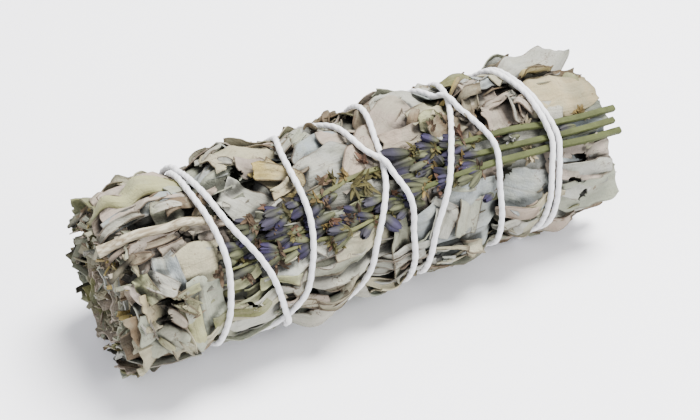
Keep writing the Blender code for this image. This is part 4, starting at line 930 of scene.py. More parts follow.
def place_leaves(pile):
    """All leaves of the side, laid from the bottom up, then shaded and gathered into pieces."""
    rng = np.random.default_rng(SEED + 1)
    names = ("lower_leaves", "deeper_front_leaves", "front_leaves", "leaf_scraps", "back_leaves")
    lower, under, front, bits, back = (Heap() for _ in names)
    laid, singles = [], []

    def lay(row, grid, heap, sink=0.0, whole=False):
        """Lay one leaf that goes into a heap."""
        laid.append((lay_leaf(row, pile, rng, grid, sink, whole), heap))

    def lay_single(number, row, grid, whole):
        """Lay a leaf that becomes a piece of its own."""
        singles.append((number, Heap()))
        lay(row, grid, singles[-1][1], whole=whole)

    for row in lower_rows(rng):
        lay(row, LOWER_GRID, lower, sink=0.95, whole=True)
    for row in UNDER_LEAVES:
        lay(row, DEEPER_GRID, under)
    scraps = scrap_rows(SCRAP_ZONES, rng)
    for row in scraps[::2]:
        lay(row, SCRAP_GRID, under)
    outer = {places: number for number, places in OUTER_LEAVES_OF_FRONT}
    for row in FRONT_LEAVES:
        if row[:4] in outer:
            number = outer[row[:4]]
            lay_single(number, row, FRONT_GRID, number != OPENED_LEAF)
        else:
            lay(row, FRONT_GRID, front)
    for row in scraps[1::2]:
        if not over_outer_leaf(row):
            lay(row, SCRAP_GRID, bits)
    for row in back_rows(rng):
        lay(row, BACK_GRID, back)
    for number, row in BACK_OUTER_LEAVES:
        lay_single(number, row, BACK_OUTER_GRID, True)
    for row in scrap_rows(BACK_SCRAP_ZONES, rng):
        if not over_outer_leaf(row):
            lay(row, SCRAP_GRID, bits)
    crown, rim = crown_of(pile), highest_near(pile.height)
    for leaf, heap in laid:
        leaf.add_to(heap, crown, rim, rng)
    for number, heap in singles:
        heap.make(f"outer_leaf_{number}", leaf_surface(), "pale_sage_leaf", f"sage_leaf_{number}")
    for heap, name in zip((lower, under, front, bits, back), names):
        heap.make(name, leaf_surface(), "sage_leaves", "sage_bundle")


def lower_rows(rng):
    """Two layers of hidden leaves all round: staggered rows, turned and sized by chance."""
    rows, per_row, leaves = 13, 6, []
    for layer in range(2):
        for r in range(rows):
            for p in range(per_row):
                turn = 360.0 * (r + 0.5 * layer + rng.uniform(-0.2, 0.2)) / rows
                middle = -50.0 + 100.0 * (p + 0.5 * (r % 2) + rng.uniform(-0.2, 0.2)) / (per_row - 0.5)
                half, lean = rng.uniform(10.0, 15.0), rng.uniform(-14.0, 14.0)
                way = rng.choice((-1.0, 1.0))
                first, last = np.clip((middle - way * half, middle + way * half), -55.5, 58.0)
                if abs(last - first) > 8.0:
                    leaves.append((first, turn - lean, last, turn + lean, rng.uniform(9.0, 13.0),
                                   pick(rng, "blade strip broad"), pick(rng, COMMON_TINTS),
                                   rng.uniform(0.2, 0.6), rng.uniform(-0.5, 0.5), 0.2,
                                   rng.uniform(-0.06, 0.06)))
    return leaves


def over_outer_leaf(row):
    """Whether a leaf's middle is over the middle of one of the separate outer leaves."""
    x, turn = (row[0] + row[2]) / 2.0, (row[1] + row[3]) / 2.0
    for _, (root_x, root_turn, tip_x, tip_turn, *_) in OUTER_LEAVES_OF_FRONT + BACK_OUTER_LEAVES:
        place, run = ((x - root_x, math.radians(turn - root_turn) * UNROLL_RADIUS),
                      (tip_x - root_x, math.radians(tip_turn - root_turn) * UNROLL_RADIUS))
        length = math.hypot(*run)
        gone = (place[0] * run[0] + place[1] * run[1]) / length
        beside = abs(place[0] * run[1] - place[1] * run[0]) / length
        if -1.0 < gone < length - 1.0 and beside < CLEAR_OF_OUTER_LEAF:
            return True
    return False


def scrap_rows(zones, rng):
    """Small bits and folds of leaf: each zone's share, placed, turned, sized and rolled by chance."""
    rows = []
    for (first_x, last_x), (first_turn, last_turn), count, lengths, widest, spread, tints in zones:
        for _ in range(count):
            x, turn = rng.uniform(first_x, last_x), rng.uniform(first_turn, last_turn)
            length, heading = rng.uniform(*lengths), rng.normal(0.0, spread)
            reach_x, reach_turn = length * math.cos(heading), length * math.sin(heading) / UNROLL_RADIUS
            rows.append((x - reach_x / 2.0, turn, x + reach_x / 2.0, turn + math.degrees(reach_turn),
                         rng.uniform(1.4, widest), pick(rng, "blade strip scrap"), pick(rng, tints),
                         rng.uniform(0.4, 2.0) * rng.choice((-1.0, 1.0, 1.0)),
                         rng.uniform(-0.5, 0.5), rng.uniform(0.0, 0.5), rng.uniform(-0.06, 0.06)))
    rng.shuffle(rows)
    return rows


def back_rows(rng):
    """Top leaves of the back and underside: staggered rows, each sized, leant and rolled by chance."""
    rows = []
    for r in range(9):
        for p in range(6):
            turn = 132.0 + r * 22.5 + rng.uniform(-6.0, 6.0)
            middle = -50.0 + 100.0 * (p + 0.5 * (r % 2) + rng.uniform(-0.3, 0.3)) / 5.5
            half = rng.uniform(6.5, 14.0)
            lean = rng.uniform(-15.0, 15.0)
            way = 1.0 if rng.random() < 0.6 else -1.0
            kind = pick(rng, "blade broad strip scrap", (0.35, 0.2, 0.25, 0.2))
            first = min(max(middle - way * half, -59.0), 57.5)
            last = min(max(middle + way * half, -59.0), 58.5)
            if abs(last - first) < 7.0:
                continue
            roll = rng.uniform(0.3, 1.1) * (1.0 if rng.random() < 0.75 else -1.0)
            if rng.random() < 0.2:
                roll = rng.uniform(1.5, 2.2)
            rows.append((first, turn - lean, last, turn + lean, rng.uniform(4.5, 11.5), kind,
                         pick(rng, COMMON_TINTS), roll, rng.uniform(-0.6, 0.6),
                         rng.uniform(0.2, 1.2), rng.uniform(-0.06, 0.06)))
    return rows


def mixed_tint(name, rng):
    """Leaf colour of a name, a little lighter or darker and warmer or cooler by chance."""
    colour = np.array(TINTS[name]) * rng.uniform(0.88, 1.08)
    return np.clip(colour * (1.0 + rng.uniform(-0.04, 0.04) * np.array([1.0, 0.2, -1.0])), 0.0, 1.0)


class Recipe:
    """A node material in the making, and short ways to add nodes to it."""

    def __init__(self, name):
        self.surface = bpy.data.materials.new(name)
        self.surface.use_nodes = True
        self.tree = self.surface.node_tree
        self.place = self.node("ShaderNodeTexCoord").outputs["Object"]

    def feed(self, socket, value):
        """Give a socket what it needs: a link from another socket, a colour or a number."""
        if isinstance(value, bpy.types.NodeSocket):
            self.tree.links.new(value, socket)
        elif socket.type == "RGBA":
            socket.default_value = (*value, 1.0)
        else:
            socket.default_value = value

    def node(self, kind, feeds=(), **settings):
        """New node with its settings, and its sockets fed by name or number."""
        node = self.tree.nodes.new(kind)
        for key, value in settings.items():
            setattr(node, key, value)
        for key, value in dict(feeds).items():
            self.feed(node.inputs[key], value)
        return node

    def maths(self, operation, *values):
        """Maths on sockets or numbers."""
        return self.node("ShaderNodeMath", enumerate(values), operation=operation).outputs[0]

    def mix(self, factor, first, second, blend="MIX"):
        """Mix of two colours."""
        return self.node("ShaderNodeMix", {0: factor, 6: first, 7: second},
                         data_type="RGBA", blend_type=blend).outputs[2]

    def ramp(self, value, low, high, most=1.0):
        """Smooth step of a socket: 0 up to low, and the most from high on."""
        step = self.node("ShaderNodeMapRange", {"Value": value, "From Min": low, "From Max": high},
                         interpolation_type="SMOOTHSTEP").outputs["Result"]
        return step if most == 1.0 else self.maths("MULTIPLY", step, most)

    def fall(self, value, low, high):
        """Smooth step the other way round: 1 up to low, and 0 from high on."""
        return self.maths("SUBTRACT", 1.0, self.ramp(value, low, high))

    def noise(self, scale, detail=3.0, roughness=0.55, place=None):
        """Noise on Object coordinates, or on another place."""
        feeds = {"Vector": self.place if place is None else place, "Scale": scale,
                 "Detail": detail, "Roughness": roughness}
        return self.node("ShaderNodeTexNoise", feeds).outputs["Fac"]

    def attribute(self, word, output="Fac"):
        """Value of a mesh attribute."""
        return self.node("ShaderNodeAttribute", attribute_name=word).outputs[output]

    def toned(self, colour, value):
        """Colour made darker or lighter by a value."""
        grey = self.node("ShaderNodeCombineColor", {0: value, 1: value, 2: value}).outputs[0]
        return self.mix(1.0, colour, grey, "MULTIPLY")

    def finish(self, colour, relief=None, **numbers):
        """Material of a colour, a relief (its height, strength and depth in metres) and numbers."""
        shader = self.tree.nodes["Principled BSDF"]
        self.feed(shader.inputs["Base Color"], colour)
        for key, value in numbers.items():
            self.feed(shader.inputs[key.replace("_", " ")], value)
        if relief is not None:
            bump = self.node("ShaderNodeBump", zip(("Height", "Strength", "Distance"), relief))
            self.feed(shader.inputs["Normal"], bump.outputs["Normal"])
        return self.surface


@functools.cache
def leaf_surface():
    """Felted dry leaf: tint by leaf, blotches, rust specks, cracks, dark torn edges, painted shade and
    veins.
    """
    r = Recipe("felted_leaf")
    tint = r.attribute("tint", "Color")
    blotch, wide = r.noise(210.0, 4.0), r.noise(90.0, 2.0)
    fine, speck = r.noise(1500.0, 3.0, 0.7), r.noise(620.0, 2.0)
    colour = r.mix(r.ramp(blotch, 0.42, 0.66, 0.40), tint, (0.21, 0.215, 0.155))
    colour = r.mix(r.ramp(wide, 0.5, 0.68, 0.30), colour, (0.27, 0.245, 0.195))
    colour = r.mix(r.ramp(speck, 0.69, 0.76, 0.7), colour, (0.09, 0.05, 0.03))
    cloud = r.noise(150.0, 5.0, 0.6)
    line = r.maths("ABSOLUTE", r.maths("SUBTRACT", cloud, 0.5))
    crack = r.maths("MULTIPLY", r.fall(line, 0.002, 0.009), r.ramp(wide, 0.50, 0.62))
    colour = r.mix(r.maths("MULTIPLY", crack, 0.75), colour, (0.07, 0.045, 0.03))
    along, across = r.attribute("along"), r.attribute("across")
    grain = r.node("ShaderNodeCombineXYZ", {"X": r.maths("MULTIPLY", along, 4.0),
                                            "Y": r.maths("MULTIPLY", across, 1.5),
                                            "Z": r.maths("MULTIPLY", tint, 900.0)})
    streak = r.noise(1.0, 3.0, place=grain.outputs[0])
    tone = r.maths("MULTIPLY_ADD", fine, 0.4, 0.58)
    colour = r.toned(colour, r.maths("MULTIPLY_ADD", streak, 0.44, tone))
    rib = r.fall(r.maths("ABSOLUTE", across), 0.08, 0.42)
    colour = r.mix(r.maths("MULTIPLY", rib, 0.22), colour, (0.18, 0.155, 0.10))
    edge = r.maths("MULTIPLY_ADD", blotch, -0.75, r.attribute("edge"))
    rim = r.maths("MULTIPLY", r.fall(edge, -0.32, -0.08), r.ramp(wide, 0.40, 0.62))
    colour = r.mix(r.maths("MULTIPLY", rim, 0.8), colour, (0.05, 0.032, 0.02))
    # Painted shade: the shade attribute darkens the colour where the leaf lies in shade
    shade = r.ramp(r.attribute("shade"), 0.0, 0.95)
    colour = r.toned(colour, r.maths("MULTIPLY_ADD", shade, 0.95, 0.05))
    cells = r.node("ShaderNodeTexVoronoi", {"Scale": 900.0, "Vector": r.place},
                   feature="DISTANCE_TO_EDGE")
    veins = r.ramp(cells.outputs["Distance"], 0.0, 0.16)
    height = r.maths("MULTIPLY_ADD", veins, 0.35, r.maths("MULTIPLY", fine, 0.6))
    for part, share in ((blotch, 1.6), (streak, 2.0), (rib, -0.7)):
        height = r.maths("MULTIPLY_ADD", part, share, height)
    return r.finish(colour, (height, 0.55, 0.0002), Roughness=0.88, Specular_IOR_Level=0.2)


def packed_surface():
    """Painted shade: near-black middle of the bunch, seen through the gaps between the leaves."""
    r = Recipe("painted_shade_core")
    grain = r.noise(420.0, 5.0, 0.7)
    # Near-black: painted shade that shows through the gaps between the leaves
    colour = r.mix(r.ramp(grain, 0.4, 0.7), (0.012, 0.009, 0.006), (0.05, 0.042, 0.026))
    return r.finish(colour, (grain, 0.8, 0.0006), Roughness=0.95)


@functools.cache
def sprig_surface():
    """Dry lavender: tint by part, made darker and lighter in spots, with fine down."""
    r = Recipe("dry_lavender")
    tint = r.attribute("tint", "Color")
    blotch, fine = r.noise(500.0, 3.0), r.noise(2200.0, 2.0, 0.6)
    tone = r.maths("MULTIPLY_ADD", fine, 0.35, r.maths("MULTIPLY_ADD", blotch, 0.9, 0.32))
    relief = (r.maths("ADD", blotch, fine), 0.5, 0.00012)
    return r.finish(r.toned(tint, tone), relief, Roughness=0.8, Specular_IOR_Level=0.25)


def string_surface():
    """White cotton: painted shade between the plies, fine fibres and a few creamier lengths."""
    r = Recipe("white_cotton")
    fine, wide = r.noise(2600.0, 3.0, 0.7), r.noise(160.0, 2.0)
    # Painted shade: darker where a ply's surface lies near the string's middle, between the plies
    groove = r.ramp(r.attribute("edge"), 0.0, 0.5)
    tone = r.maths("MULTIPLY_ADD", fine, 0.10, r.maths("MULTIPLY_ADD", groove, 0.22, 0.74))
    colour = r.toned((0.635, 0.63, 0.64), tone)
    colour = r.mix(r.ramp(wide, 0.55, 0.75, 0.25), colour, (0.56, 0.55, 0.48))
    return r.finish(colour, (fine, 0.5, 0.0001), Roughness=0.85, Sheen_Weight=0.15,
                    Sheen_Roughness=0.5)


@functools.cache
def stem_surface():
    """Dry sage stem: cream wood with long streaks."""
    r = Recipe("dry_stem")
    stretch = r.node("ShaderNodeMapping", {"Scale": (0.12, 1.0, 1.0), "Vector": r.place})
    streak = r.noise(1400.0, 3.0, place=stretch.outputs["Vector"])
    wide = r.noise(240.0, 2.0)
    colour = r.mix(r.ramp(streak, 0.35, 0.7), (0.17, 0.13, 0.075), r.attribute("tint", "Color"))
    colour = r.mix(r.ramp(wide, 0.5, 0.7, 0.3), colour, (0.20, 0.19, 0.11))
    return r.finish(colour, (streak, 0.5, 0.00015), Roughness=0.75)


def floor_surface():
    """Plain pale floor, very slightly uneven in tone."""
    r = Recipe("pale_floor")
    colour = r.mix(r.noise(3.0, 2.0), (0.92, 0.92, 0.95), (0.94, 0.94, 0.97))
    return r.finish(colour, Roughness=0.9)


def make_core():
    """Painted-shade middle: a body of rings just under the bed, with low bumps, rounded in at its ends.
    """
    rng = np.random.default_rng(SEED + 2)
    rings, sides = 90, 120
    x = np.linspace(-49.0, 49.0, rings)[:, None]
    turn = (np.arange(sides) * 360.0 / sides)[None, :]
    bumps = ripple(x, np.sin(np.radians(turn)) * 15.0, 5.0, rng)
    radius = sample(BED_NET, x, turn) - 0.2 + 0.5 * bumps
    radius = radius * np.sqrt(np.clip(1.0 - (np.abs(x) / 49.6) ** 14, 0.0, 1.0))
    heap = Heap()
    heap.add(to_space(x, turn, radius), ring_faces(rings, sides), TINTS["brown"])
    heap.make("shaded_middle", packed_surface(), "sage_leaves", "sage_bundle")


def make_cut_end(rng):
    """Heap of folded leaf ends that stand out of the cut end, packed on uneven rings, and crumbs.

    Each is a sheet: along it, out of the end; across it, a wavy line laid round its ring. The
    wave is a sum of two sines, weaker on the outside, and its free edge is slanted and torn.
    The upper ones of the outer rings reach less far out.
    """
    heap = Heap()
    along = np.linspace(0.0, 1.0, 9)[:, None]
    across = np.linspace(-0.5, 0.5, 24)[None, :]
    for ring in CUT_RINGS:
        count = max(int(round(2.0 * math.pi * ring / 6.2)), 2)
        inside = 1.0 if ring < 15.5 else 0.45
        outer = ring / 19.0
        for place in range(count):
            middle = 360.0 * (place + rng.uniform(-0.3, 0.3)) / count + ring * 20.0
            arc = rng.uniform(5.5, 9.5)
            out = rng.uniform(54.3, 59.2) - 1.6 * outer ** 2 * rng.uniform(0.0, 1.0)
            out = out - 2.6 * max(math.cos(math.radians(middle + 8.0)), 0.0) * outer
            folds = rng.uniform(6.0, 12.0)
            wave = rng.uniform(0.4, 1.0) * np.sin(across * folds + rng.uniform(0, 6.3))
            wave = (wave + 0.3 * np.sin(across * 2.3 * folds + rng.uniform(0, 6.3))) * inside
            lean = rng.uniform(-1.3, 1.3) * across * 2.0
            local = ring + (wave + lean) * (0.6 + 0.4 * along) + along * rng.uniform(-0.5, 0.9)
            turn = middle + np.degrees(across * arc / max(ring, 2.5))
            slant = rng.uniform(-1.4, 1.4) * across * 2.0 + 0.45 * torn(across * arc, 1.0, rng)
            x = -CUT_END_ROOT - (out - CUT_END_ROOT + slant) * along
            local = inside_of_side(np.abs(local) + 0.3, x, CUT_END_LIMITS)
            edge = np.minimum((1.0 - along) * (out - CUT_END_ROOT), (0.5 - np.abs(across)) * arc)
            # Painted shade: darker deeper in from each sheet's free edge, inside the cut end
            shade = np.clip(1.1 - (x + out) / 5.0, 0.0, 1.0)
            tint = mixed_tint(pick(rng, CUT_TINTS), rng) * rng.uniform(0.8, 1.25)
            heap.add_sheet(to_space(x, turn, above_floor(turn, local)), 0.42, tint,
                           facts_of(along, OFF_RIB, 0.2 + edge, shade))
    add_crumbs(heap, rng)
    return heap


def inside_of_side(radius, x, limits):
    """Radius kept under the side's leaves: a soft minimum with a limit that grows towards an end."""
    limit = np.interp(np.abs(x), END_PLACES, limits)
    return -np.logaddexp(-LIMIT_HOLD * radius, -LIMIT_HOLD * limit) / LIMIT_HOLD


def above_floor(turn, radius):
    """Radius cut back where it would reach under the ground."""
    return np.minimum(radius, floor_radius(turn, END_CLEAR))


def add_crumbs(heap, rng):
    """Crumbled bits of leaf among the cut ends: small bent sheets at chance places and headings.

    Each narrows and bends by the square of how far along it is.
    """
    along = np.linspace(-0.5, 0.5, 5)[:, None, None]
    across = np.linspace(-0.5, 0.5, 4)[None, :, None]
    for _ in range(CRUMBS):
        turn, radius = rng.uniform(0.0, 360.0), 18.0 * math.sqrt(rng.uniform(0.0, 1.0))
        radius = min(radius, float(above_floor(turn, radius)) - 1.5)
        middle = to_space(-rng.uniform(54.5, 58.8), turn, radius)
        ahead = unit(rng.normal(0.0, 1.0, 3))
        side = unit(np.cross(ahead, rng.normal(0.0, 1.0, 3)))
        length, width = rng.uniform(1.6, 4.0), rng.uniform(0.7, 1.8)
        bend = rng.uniform(-1.2, 1.2) * np.cross(ahead, side)
        narrow = 1.0 - rng.uniform(0.2, 1.2) * (along + 0.5) ** 2 * 0.7
        points = middle + ahead * along * length + side * across * width * narrow
        points = points + bend * (along ** 2 + 0.6 * across ** 2)
        tint = mixed_tint(pick(rng, CRUMB_TINTS), rng) * rng.uniform(0.7, 1.2)
        heap.add_sheet(points, LEAF_THICKNESS, tint, (0.5, OFF_RIB, 0.6, rng.uniform(0.8, 1.0)))


def make_tip_end(rng):
    """Heap of rounded leaf tips that stand out of the other end, packed on rings inside the bunch.

    Each is a sheet along X whose width is a root of a power that ends in a round tip. Across
    it the section is a shallow bow, leant and folded by a sine, and the whole tip is twisted
    a little round the bunch.
    """
    heap = Heap()
    along = np.linspace(0.0, 1.0, 18)[:, None]
    across = np.sin(np.linspace(-0.5, 0.5, 13) * math.pi)[None, :]
    outline = np.sqrt(np.clip(1.0 - np.clip((along - 0.4) / 0.61, 0.0, 1.0) ** 2.6, 0.0, 1.0))
    for ring in TIP_RINGS:
        count = max(int(round(2.0 * math.pi * ring / 5.4)), 2)
        for place in range(count):
            middle = 360.0 * (place + rng.uniform(-0.4, 0.4)) / count + ring * 31.0
            out = rng.uniform(50.5, 58.0)
            half = rng.uniform(2.2, 5.2) * outline * (1.0 + 0.06 * torn(along * 20.0, 1.8, rng))
            fold = rng.uniform(0.2, 0.8) * np.sin(across * rng.uniform(2.0, 6.0) + rng.uniform(0.0, 6.3))
            local = ring + rng.uniform(-1.4, 1.4) + rng.uniform(-1.8, 2.6) * across ** 2 + fold * along
            local = local + along ** 2 * rng.uniform(-1.8, 1.6) + rng.uniform(-3.0, 3.0) * across
            turn = middle + rng.uniform(-16.0, 16.0) * along + np.degrees(across * half / max(ring, 3.0))
            x = TIP_END_ROOT + (out - TIP_END_ROOT) * along
            local = inside_of_side(np.abs(local) + 0.3, x, TIP_END_LIMITS)
            edge = np.minimum((1.0 - np.abs(across)) * half, (1.0 - along) * (out - TIP_END_ROOT))
            # Painted shade: darker towards each tip's root, inside the bunch
            shade = np.clip(1.0 - (out - x) / 6.5, 0.0, 1.0)
            tint = mixed_tint(pick(rng, TIP_TINTS), rng) * rng.uniform(0.75, 1.0)
            heap.add_sheet(to_space(x, turn, above_floor(turn, local)), 0.28, tint,
                           facts_of(along, across * half, edge, shade))
    return heap


def stem_path(route, radius, pile, step=0.8):
    """Place and radius of a stem's middle at each step of its route over the pile.

    The route is a smooth curve through its places. The heights under it are raised a few times
    to a little less than their neighbours' mean, then smoothed by a running mean of five.
    """
    xs, turns = zip(*route)
    knots = np.linspace(0.0, 1.0, len(xs))
    steps = np.linspace(0.0, 1.0, int(np.abs(np.diff(xs)).sum() / step) + 2)
    x, turn = smooth_steps(knots, xs, steps), smooth_steps(knots, turns, steps)
    under = np.maximum(pile.under(x, turn), pile.under(x, turn + 2.0))
    for _ in range(12):
        padded = np.pad(under, 1, mode="edge")
        under = np.maximum(under, (padded[:-2] + padded[2:]) / 2.0 - 0.004)
    under = np.minimum(upper_envelope(under, 0, 2), 1.02)
    return x, turn, radius_at(x, turn, under) + radius * 0.9


def calyx_shell(foot, tip, width, violet, rng):
    """Ribbed calyx from foot to tip: a barrel of rings whose radius ripples round it, open-mouthed.

    Radius along it: a slender base, widest at two thirds, drawn in at the mouth, where the last
    rings fold back inside. Its middle line bends as a sine. Colour goes from grey-green at the
    foot to violet at the tip, and every other side is darker. The rings inside the mouth are
    darkened as painted shade.
    """
    length = np.linalg.norm(tip - foot)
    axis = (tip - foot) / length
    side = unit(np.cross(axis, [0.0, 0.3, 1.0]))
    other = np.cross(axis, side)
    sides = np.arange(10)
    every_other = (sides % 2)[None, :, None]
    along, size = np.array(CALYX_RINGS)[:, None, None], np.array(CALYX_SIZES)[:, None, None]
    angle = sides * 2.0 * math.pi / len(sides) + rng.uniform(0.0, 1.0)
    rib = 1.0 + 0.17 * np.cos(sides * math.pi)
    ring = (np.cos(angle) * rib)[None, :, None] * side + (np.sin(angle) * rib)[None, :, None] * other
    bend = side * 0.25 * rng.uniform(-1.0, 1.0)
    middle = foot + axis * along * length + bend * np.sin(along * math.pi)
    teeth = 0.10 * length * every_other * (along == 1.0) * axis
    points = middle + ring * (size * width / 2.0) + teeth
    green = np.array(CALYX_GREEN) * rng.uniform(0.5, 1.4)
    purple = np.array(CALYX_PURPLE) * rng.uniform(0.5, 1.6)
    slate = np.array(CALYX_SLATE) * rng.uniform(0.5, 1.7)
    share = np.clip((along - 0.1) / 0.6, 0.0, 1.0) * violet
    colour = green * (1.0 - share) + (slate * (1.0 - 0.6 * along) + purple * 0.6 * along) * share
    colour = np.clip(colour * (0.50 + 0.85 * every_other) * rng.uniform(0.6, 1.1), 0.0, 1.0)
    # Rings folded back inside the mouth: painted shade, a quarter as bright
    colour[-2:] *= 0.25
    return points, ring_faces(len(along), len(sides)), colour.reshape(-1, 3)


def bract(foot, heading, up, length, width, curl):
    """Small pointed leaf: a sheet along a heading that curls up as a parabola, its width a sine arch."""
    along = np.linspace(0.0, 1.0, 5)[:, None, None]
    across = np.array([-1.0, 0.0, 1.0])[None, :, None]
    side = np.cross(up, heading)
    arch = np.sin(math.pi * (0.12 + 0.86 * along)) ** 0.8
    points = foot + heading * along * length + side * across * arch * width / 2.0
    return points + up * (curl * along ** 2 + 0.25 * width * across ** 2 * arch)


def frame_at(x, turn, radius):
    """Point on the side, and its directions along the bunch, round it and outwards."""
    angle = math.radians(turn)
    outward = np.array([0.0, -math.sin(angle), math.cos(angle)])
    around = np.array([0.0, -math.cos(angle), -math.sin(angle)])
    return to_space(x, turn, radius), np.array([1.0, 0.0, 0.0]), around, outward


def add_tuft(heap, place, looks, rng):
    """Tuft of small bracts about a place: how many, longest, tint and middle heading (degrees).

    Nothing is put under the string, which would press it flat.
    """
    foot, ahead, around, outward = place
    count, length, tint, heading = looks
    if sample(GAP_NET, foot[0], on_side(foot)[0]) < TUFT_CLEAR:
        return
    for _ in range(count):
        angle = math.radians(heading + rng.uniform(-95.0, 95.0))
        flat = ahead * math.cos(angle) + around * math.sin(angle)
        way = unit(flat + outward * rng.uniform(0.0, 0.9))
        up = unit(outward - way * (outward @ way) + flat * rng.uniform(-0.4, 0.4))
        start = foot + flat * rng.uniform(-0.9, 0.9) + around * rng.uniform(-0.6, 0.6)
        blade = bract(start, way, up, length * rng.uniform(0.3, 0.95), rng.uniform(0.35, 0.9),
                      rng.uniform(-0.9, 0.9))
        colour = np.array(TUFT_TINTS[tint]) * rng.uniform(0.35, 1.35)
        heap.add_sheet(blade, 0.12, np.clip(colour, 0.0, 1.0))


def add_whorl(heap, line, foot_x, pile, rng):
    """Whorl of four to six calyces fanned from a stem towards its tip, with dry bracts under it.

    The fan runs evenly from one side to the other; the outer calyces lie lower. Near the
    string all are kept low. Returns the bracts' places and looks, to be added after them.
    """
    x, turn, centre = line
    tufts = []
    k = int(np.argmin(np.abs(x - foot_x)))
    way = math.copysign(1.0, x[-1] - x[0])
    back = 90.0 - 90.0 * way
    count = int(rng.integers(4, 7))
    for side in np.linspace(-1.0, 1.0, count) + rng.uniform(-0.18, 0.18, count):
        length, heading = rng.uniform(3.8, 5.2), side * 0.62
        place = (x[k] + way * length * math.cos(heading),
                 turn[k] + math.degrees(length * math.sin(heading) / UNROLL_RADIUS))
        free = min(max((float(sample(GAP_NET, *place)) - 1.0) / 2.5, 0.0), 1.0)
        ground = float(pile.top(*place, 1.0))
        highest = centre[k] + 0.1 + 0.9 * free
        foot = to_space(x[k], turn[k] + side * 1.6, centre[k] + 0.1)
        tip = to_space(*place, min(max(ground + 0.5, centre[k] + 0.7 - 1.3 * abs(side)), highest))
        violet = float(rng.choice((1.0, 0.8, 0.15), p=(0.48, 0.2, 0.32)))
        heap.add(*calyx_shell(foot, tip, rng.uniform(1.2, 2.1), violet, rng))
        if free > 0.3 and rng.random() < 0.55:
            end = frame_at(*place, on_side(tip)[1])
            tufts.append((end, (4, 2.0, pick(rng, "brown rust olive"), back)))
    under = frame_at(x[k], turn[k], centre[k] + 0.3)
    tufts.append((under, (8, 3.0, pick(rng, "brown olive ochre"), back)))
    return tufts


def lavender_stem(heap, number, pile, rng):
    """Stem of a sprig, round with four low corners and thinner towards its tip. Returns its line."""
    radius = LAVENDER_STEM_RADII[number]
    x, turn, centre = stem_path(LAVENDER_STEMS[number], radius, pile)
    taper = radius * np.interp(np.linspace(0, 1, len(x)), [0.0, 0.6, 1.0], [1.0, 0.9, 0.55])
    ribs = 1.0 + 0.10 * np.cos(np.arange(12) * 2.0 * math.pi / 3.0)
    shade = 1.0 + 0.12 * ripple(np.arange(len(x) + 2)[:, None] * 0.8, 0.0, 9.0, rng)
    tone = np.array(LONG_STEM_COLOUR if number < 3 else SHORT_STEM_COLOUR)
    colour = np.clip(tone * shade[..., None] * np.ones((1, len(ribs), 1)), 0.0, 1.0)
    heap.add_rod(to_space(x, turn, centre), taper, ribs, colour.reshape(-1, 3))
    return x, turn, centre


def make_lavender(pile):
    """Six lavender sprigs: stem, whorls by rule, the single calyces and the tufts of the lists.

    Returns the stems' lines and a net of the sprigs' greatest radius, bracts left aside.
    """
    rng = np.random.default_rng(SEED + 3)
    heaps = [Heap() for _ in LAVENDER_STEMS]
    lines = [lavender_stem(heap, number, pile, rng) for number, heap in enumerate(heaps)]
    for sprig, foot_x, foot_turn, tip_x, tip_turn, width, violet in CALYCES:
        rise = rng.uniform(0.45, 0.75) * width
        foot = to_space(foot_x, foot_turn, pile.top(foot_x, foot_turn, 1.0) + rise * 0.8)
        tip = to_space(tip_x, tip_turn, pile.top(tip_x, tip_turn, 1.0) + rise * 1.1)
        heaps[sprig - 1].add(*calyx_shell(foot, tip, width * 1.05, violet, rng))
    tufts = []
    for heap, line, head in zip(heaps, lines, HEADS):
        for foot in np.arange(head[0], head[1], -WHORL_SPACING):
            for place, looks in add_whorl(heap, line, foot + rng.uniform(-0.8, 0.8), pile, rng):
                tufts.append((heap, place, looks))
    highest = np.zeros(SKIN_NET.shape)
    for points in (shell for heap in heaps for shell in heap.points):
        turn, radius = on_side(points)
        np.maximum.at(highest, knots_near(points[:, 0], turn), radius)
    for sprig, x, turn, count, length, tint, heading in TUFTS:
        place = frame_at(x, turn, pile.top(x, turn, 1.0) + 0.5)
        tufts.append((heaps[sprig - 1], place, (count * 2, length, tint, heading)))
    for heap, place, looks in tufts:
        add_tuft(heap, place, looks, rng)
    for number, heap in enumerate(heaps, 1):
        heap.make(f"lavender_{number}", sprig_surface(), "lavender", f"lavender_sprig_{number}")
    return lines, highest


def make_stems(pile):
    """Sage stems: four inside, seen at the cut end, and the one laid outside near it.

    The section is a circle with four low corners. Returns the line of the outer one.
    """
    square = 1.0 + 0.09 * np.cos(np.arange(16) * math.pi / 2.0)
    steps = np.linspace(0.0, 1.0, 12)
    for number, (y, height, depth) in enumerate(INNER_STEMS, 1):
        last = -57.0 + 0.8 * (number % 3)
        path = np.stack(np.broadcast_arrays(last + (-50.0 + depth - last) * steps, y, height), axis=-1)
        heap = Heap()
        heap.add_rod(path, np.full(len(steps), INNER_STEM_RADIUS), square, INNER_STEM_COLOUR)
        heap.make(f"inner_stem_{number}", stem_surface(), "sage_stem", f"sage_stem_{number}")
    x, turn, centre = stem_path(OUTER_STEM, OUTER_STEM_RADIUS, pile, 0.5)
    taper = np.interp(np.linspace(0.0, 1.0, len(x)), [0.0, 0.12, 0.5, 1.0], [1.25, 1.0, 0.9, 0.85])
    heap = Heap()
    heap.add_rod(to_space(x, turn, centre), OUTER_STEM_RADIUS * taper, square, OUTER_STEM_COLOUR)
    heap.make("outer_stem", stem_surface(), "sage_stem", "sage_stem_outer")
    return x, turn, centre


def upper_envelope(values, reach, blur):
    """Smooth curve near or above the values: the greatest within reach, then a running mean."""
    count = len(values)
    padded = np.pad(values, reach, mode="edge")
    highest = np.max([padded[k:k + count] for k in range(2 * reach + 1)], axis=0)
    padded = np.pad(highest, blur, mode="edge")
    return np.mean([padded[k:k + count] for k in range(2 * blur + 1)], axis=0)


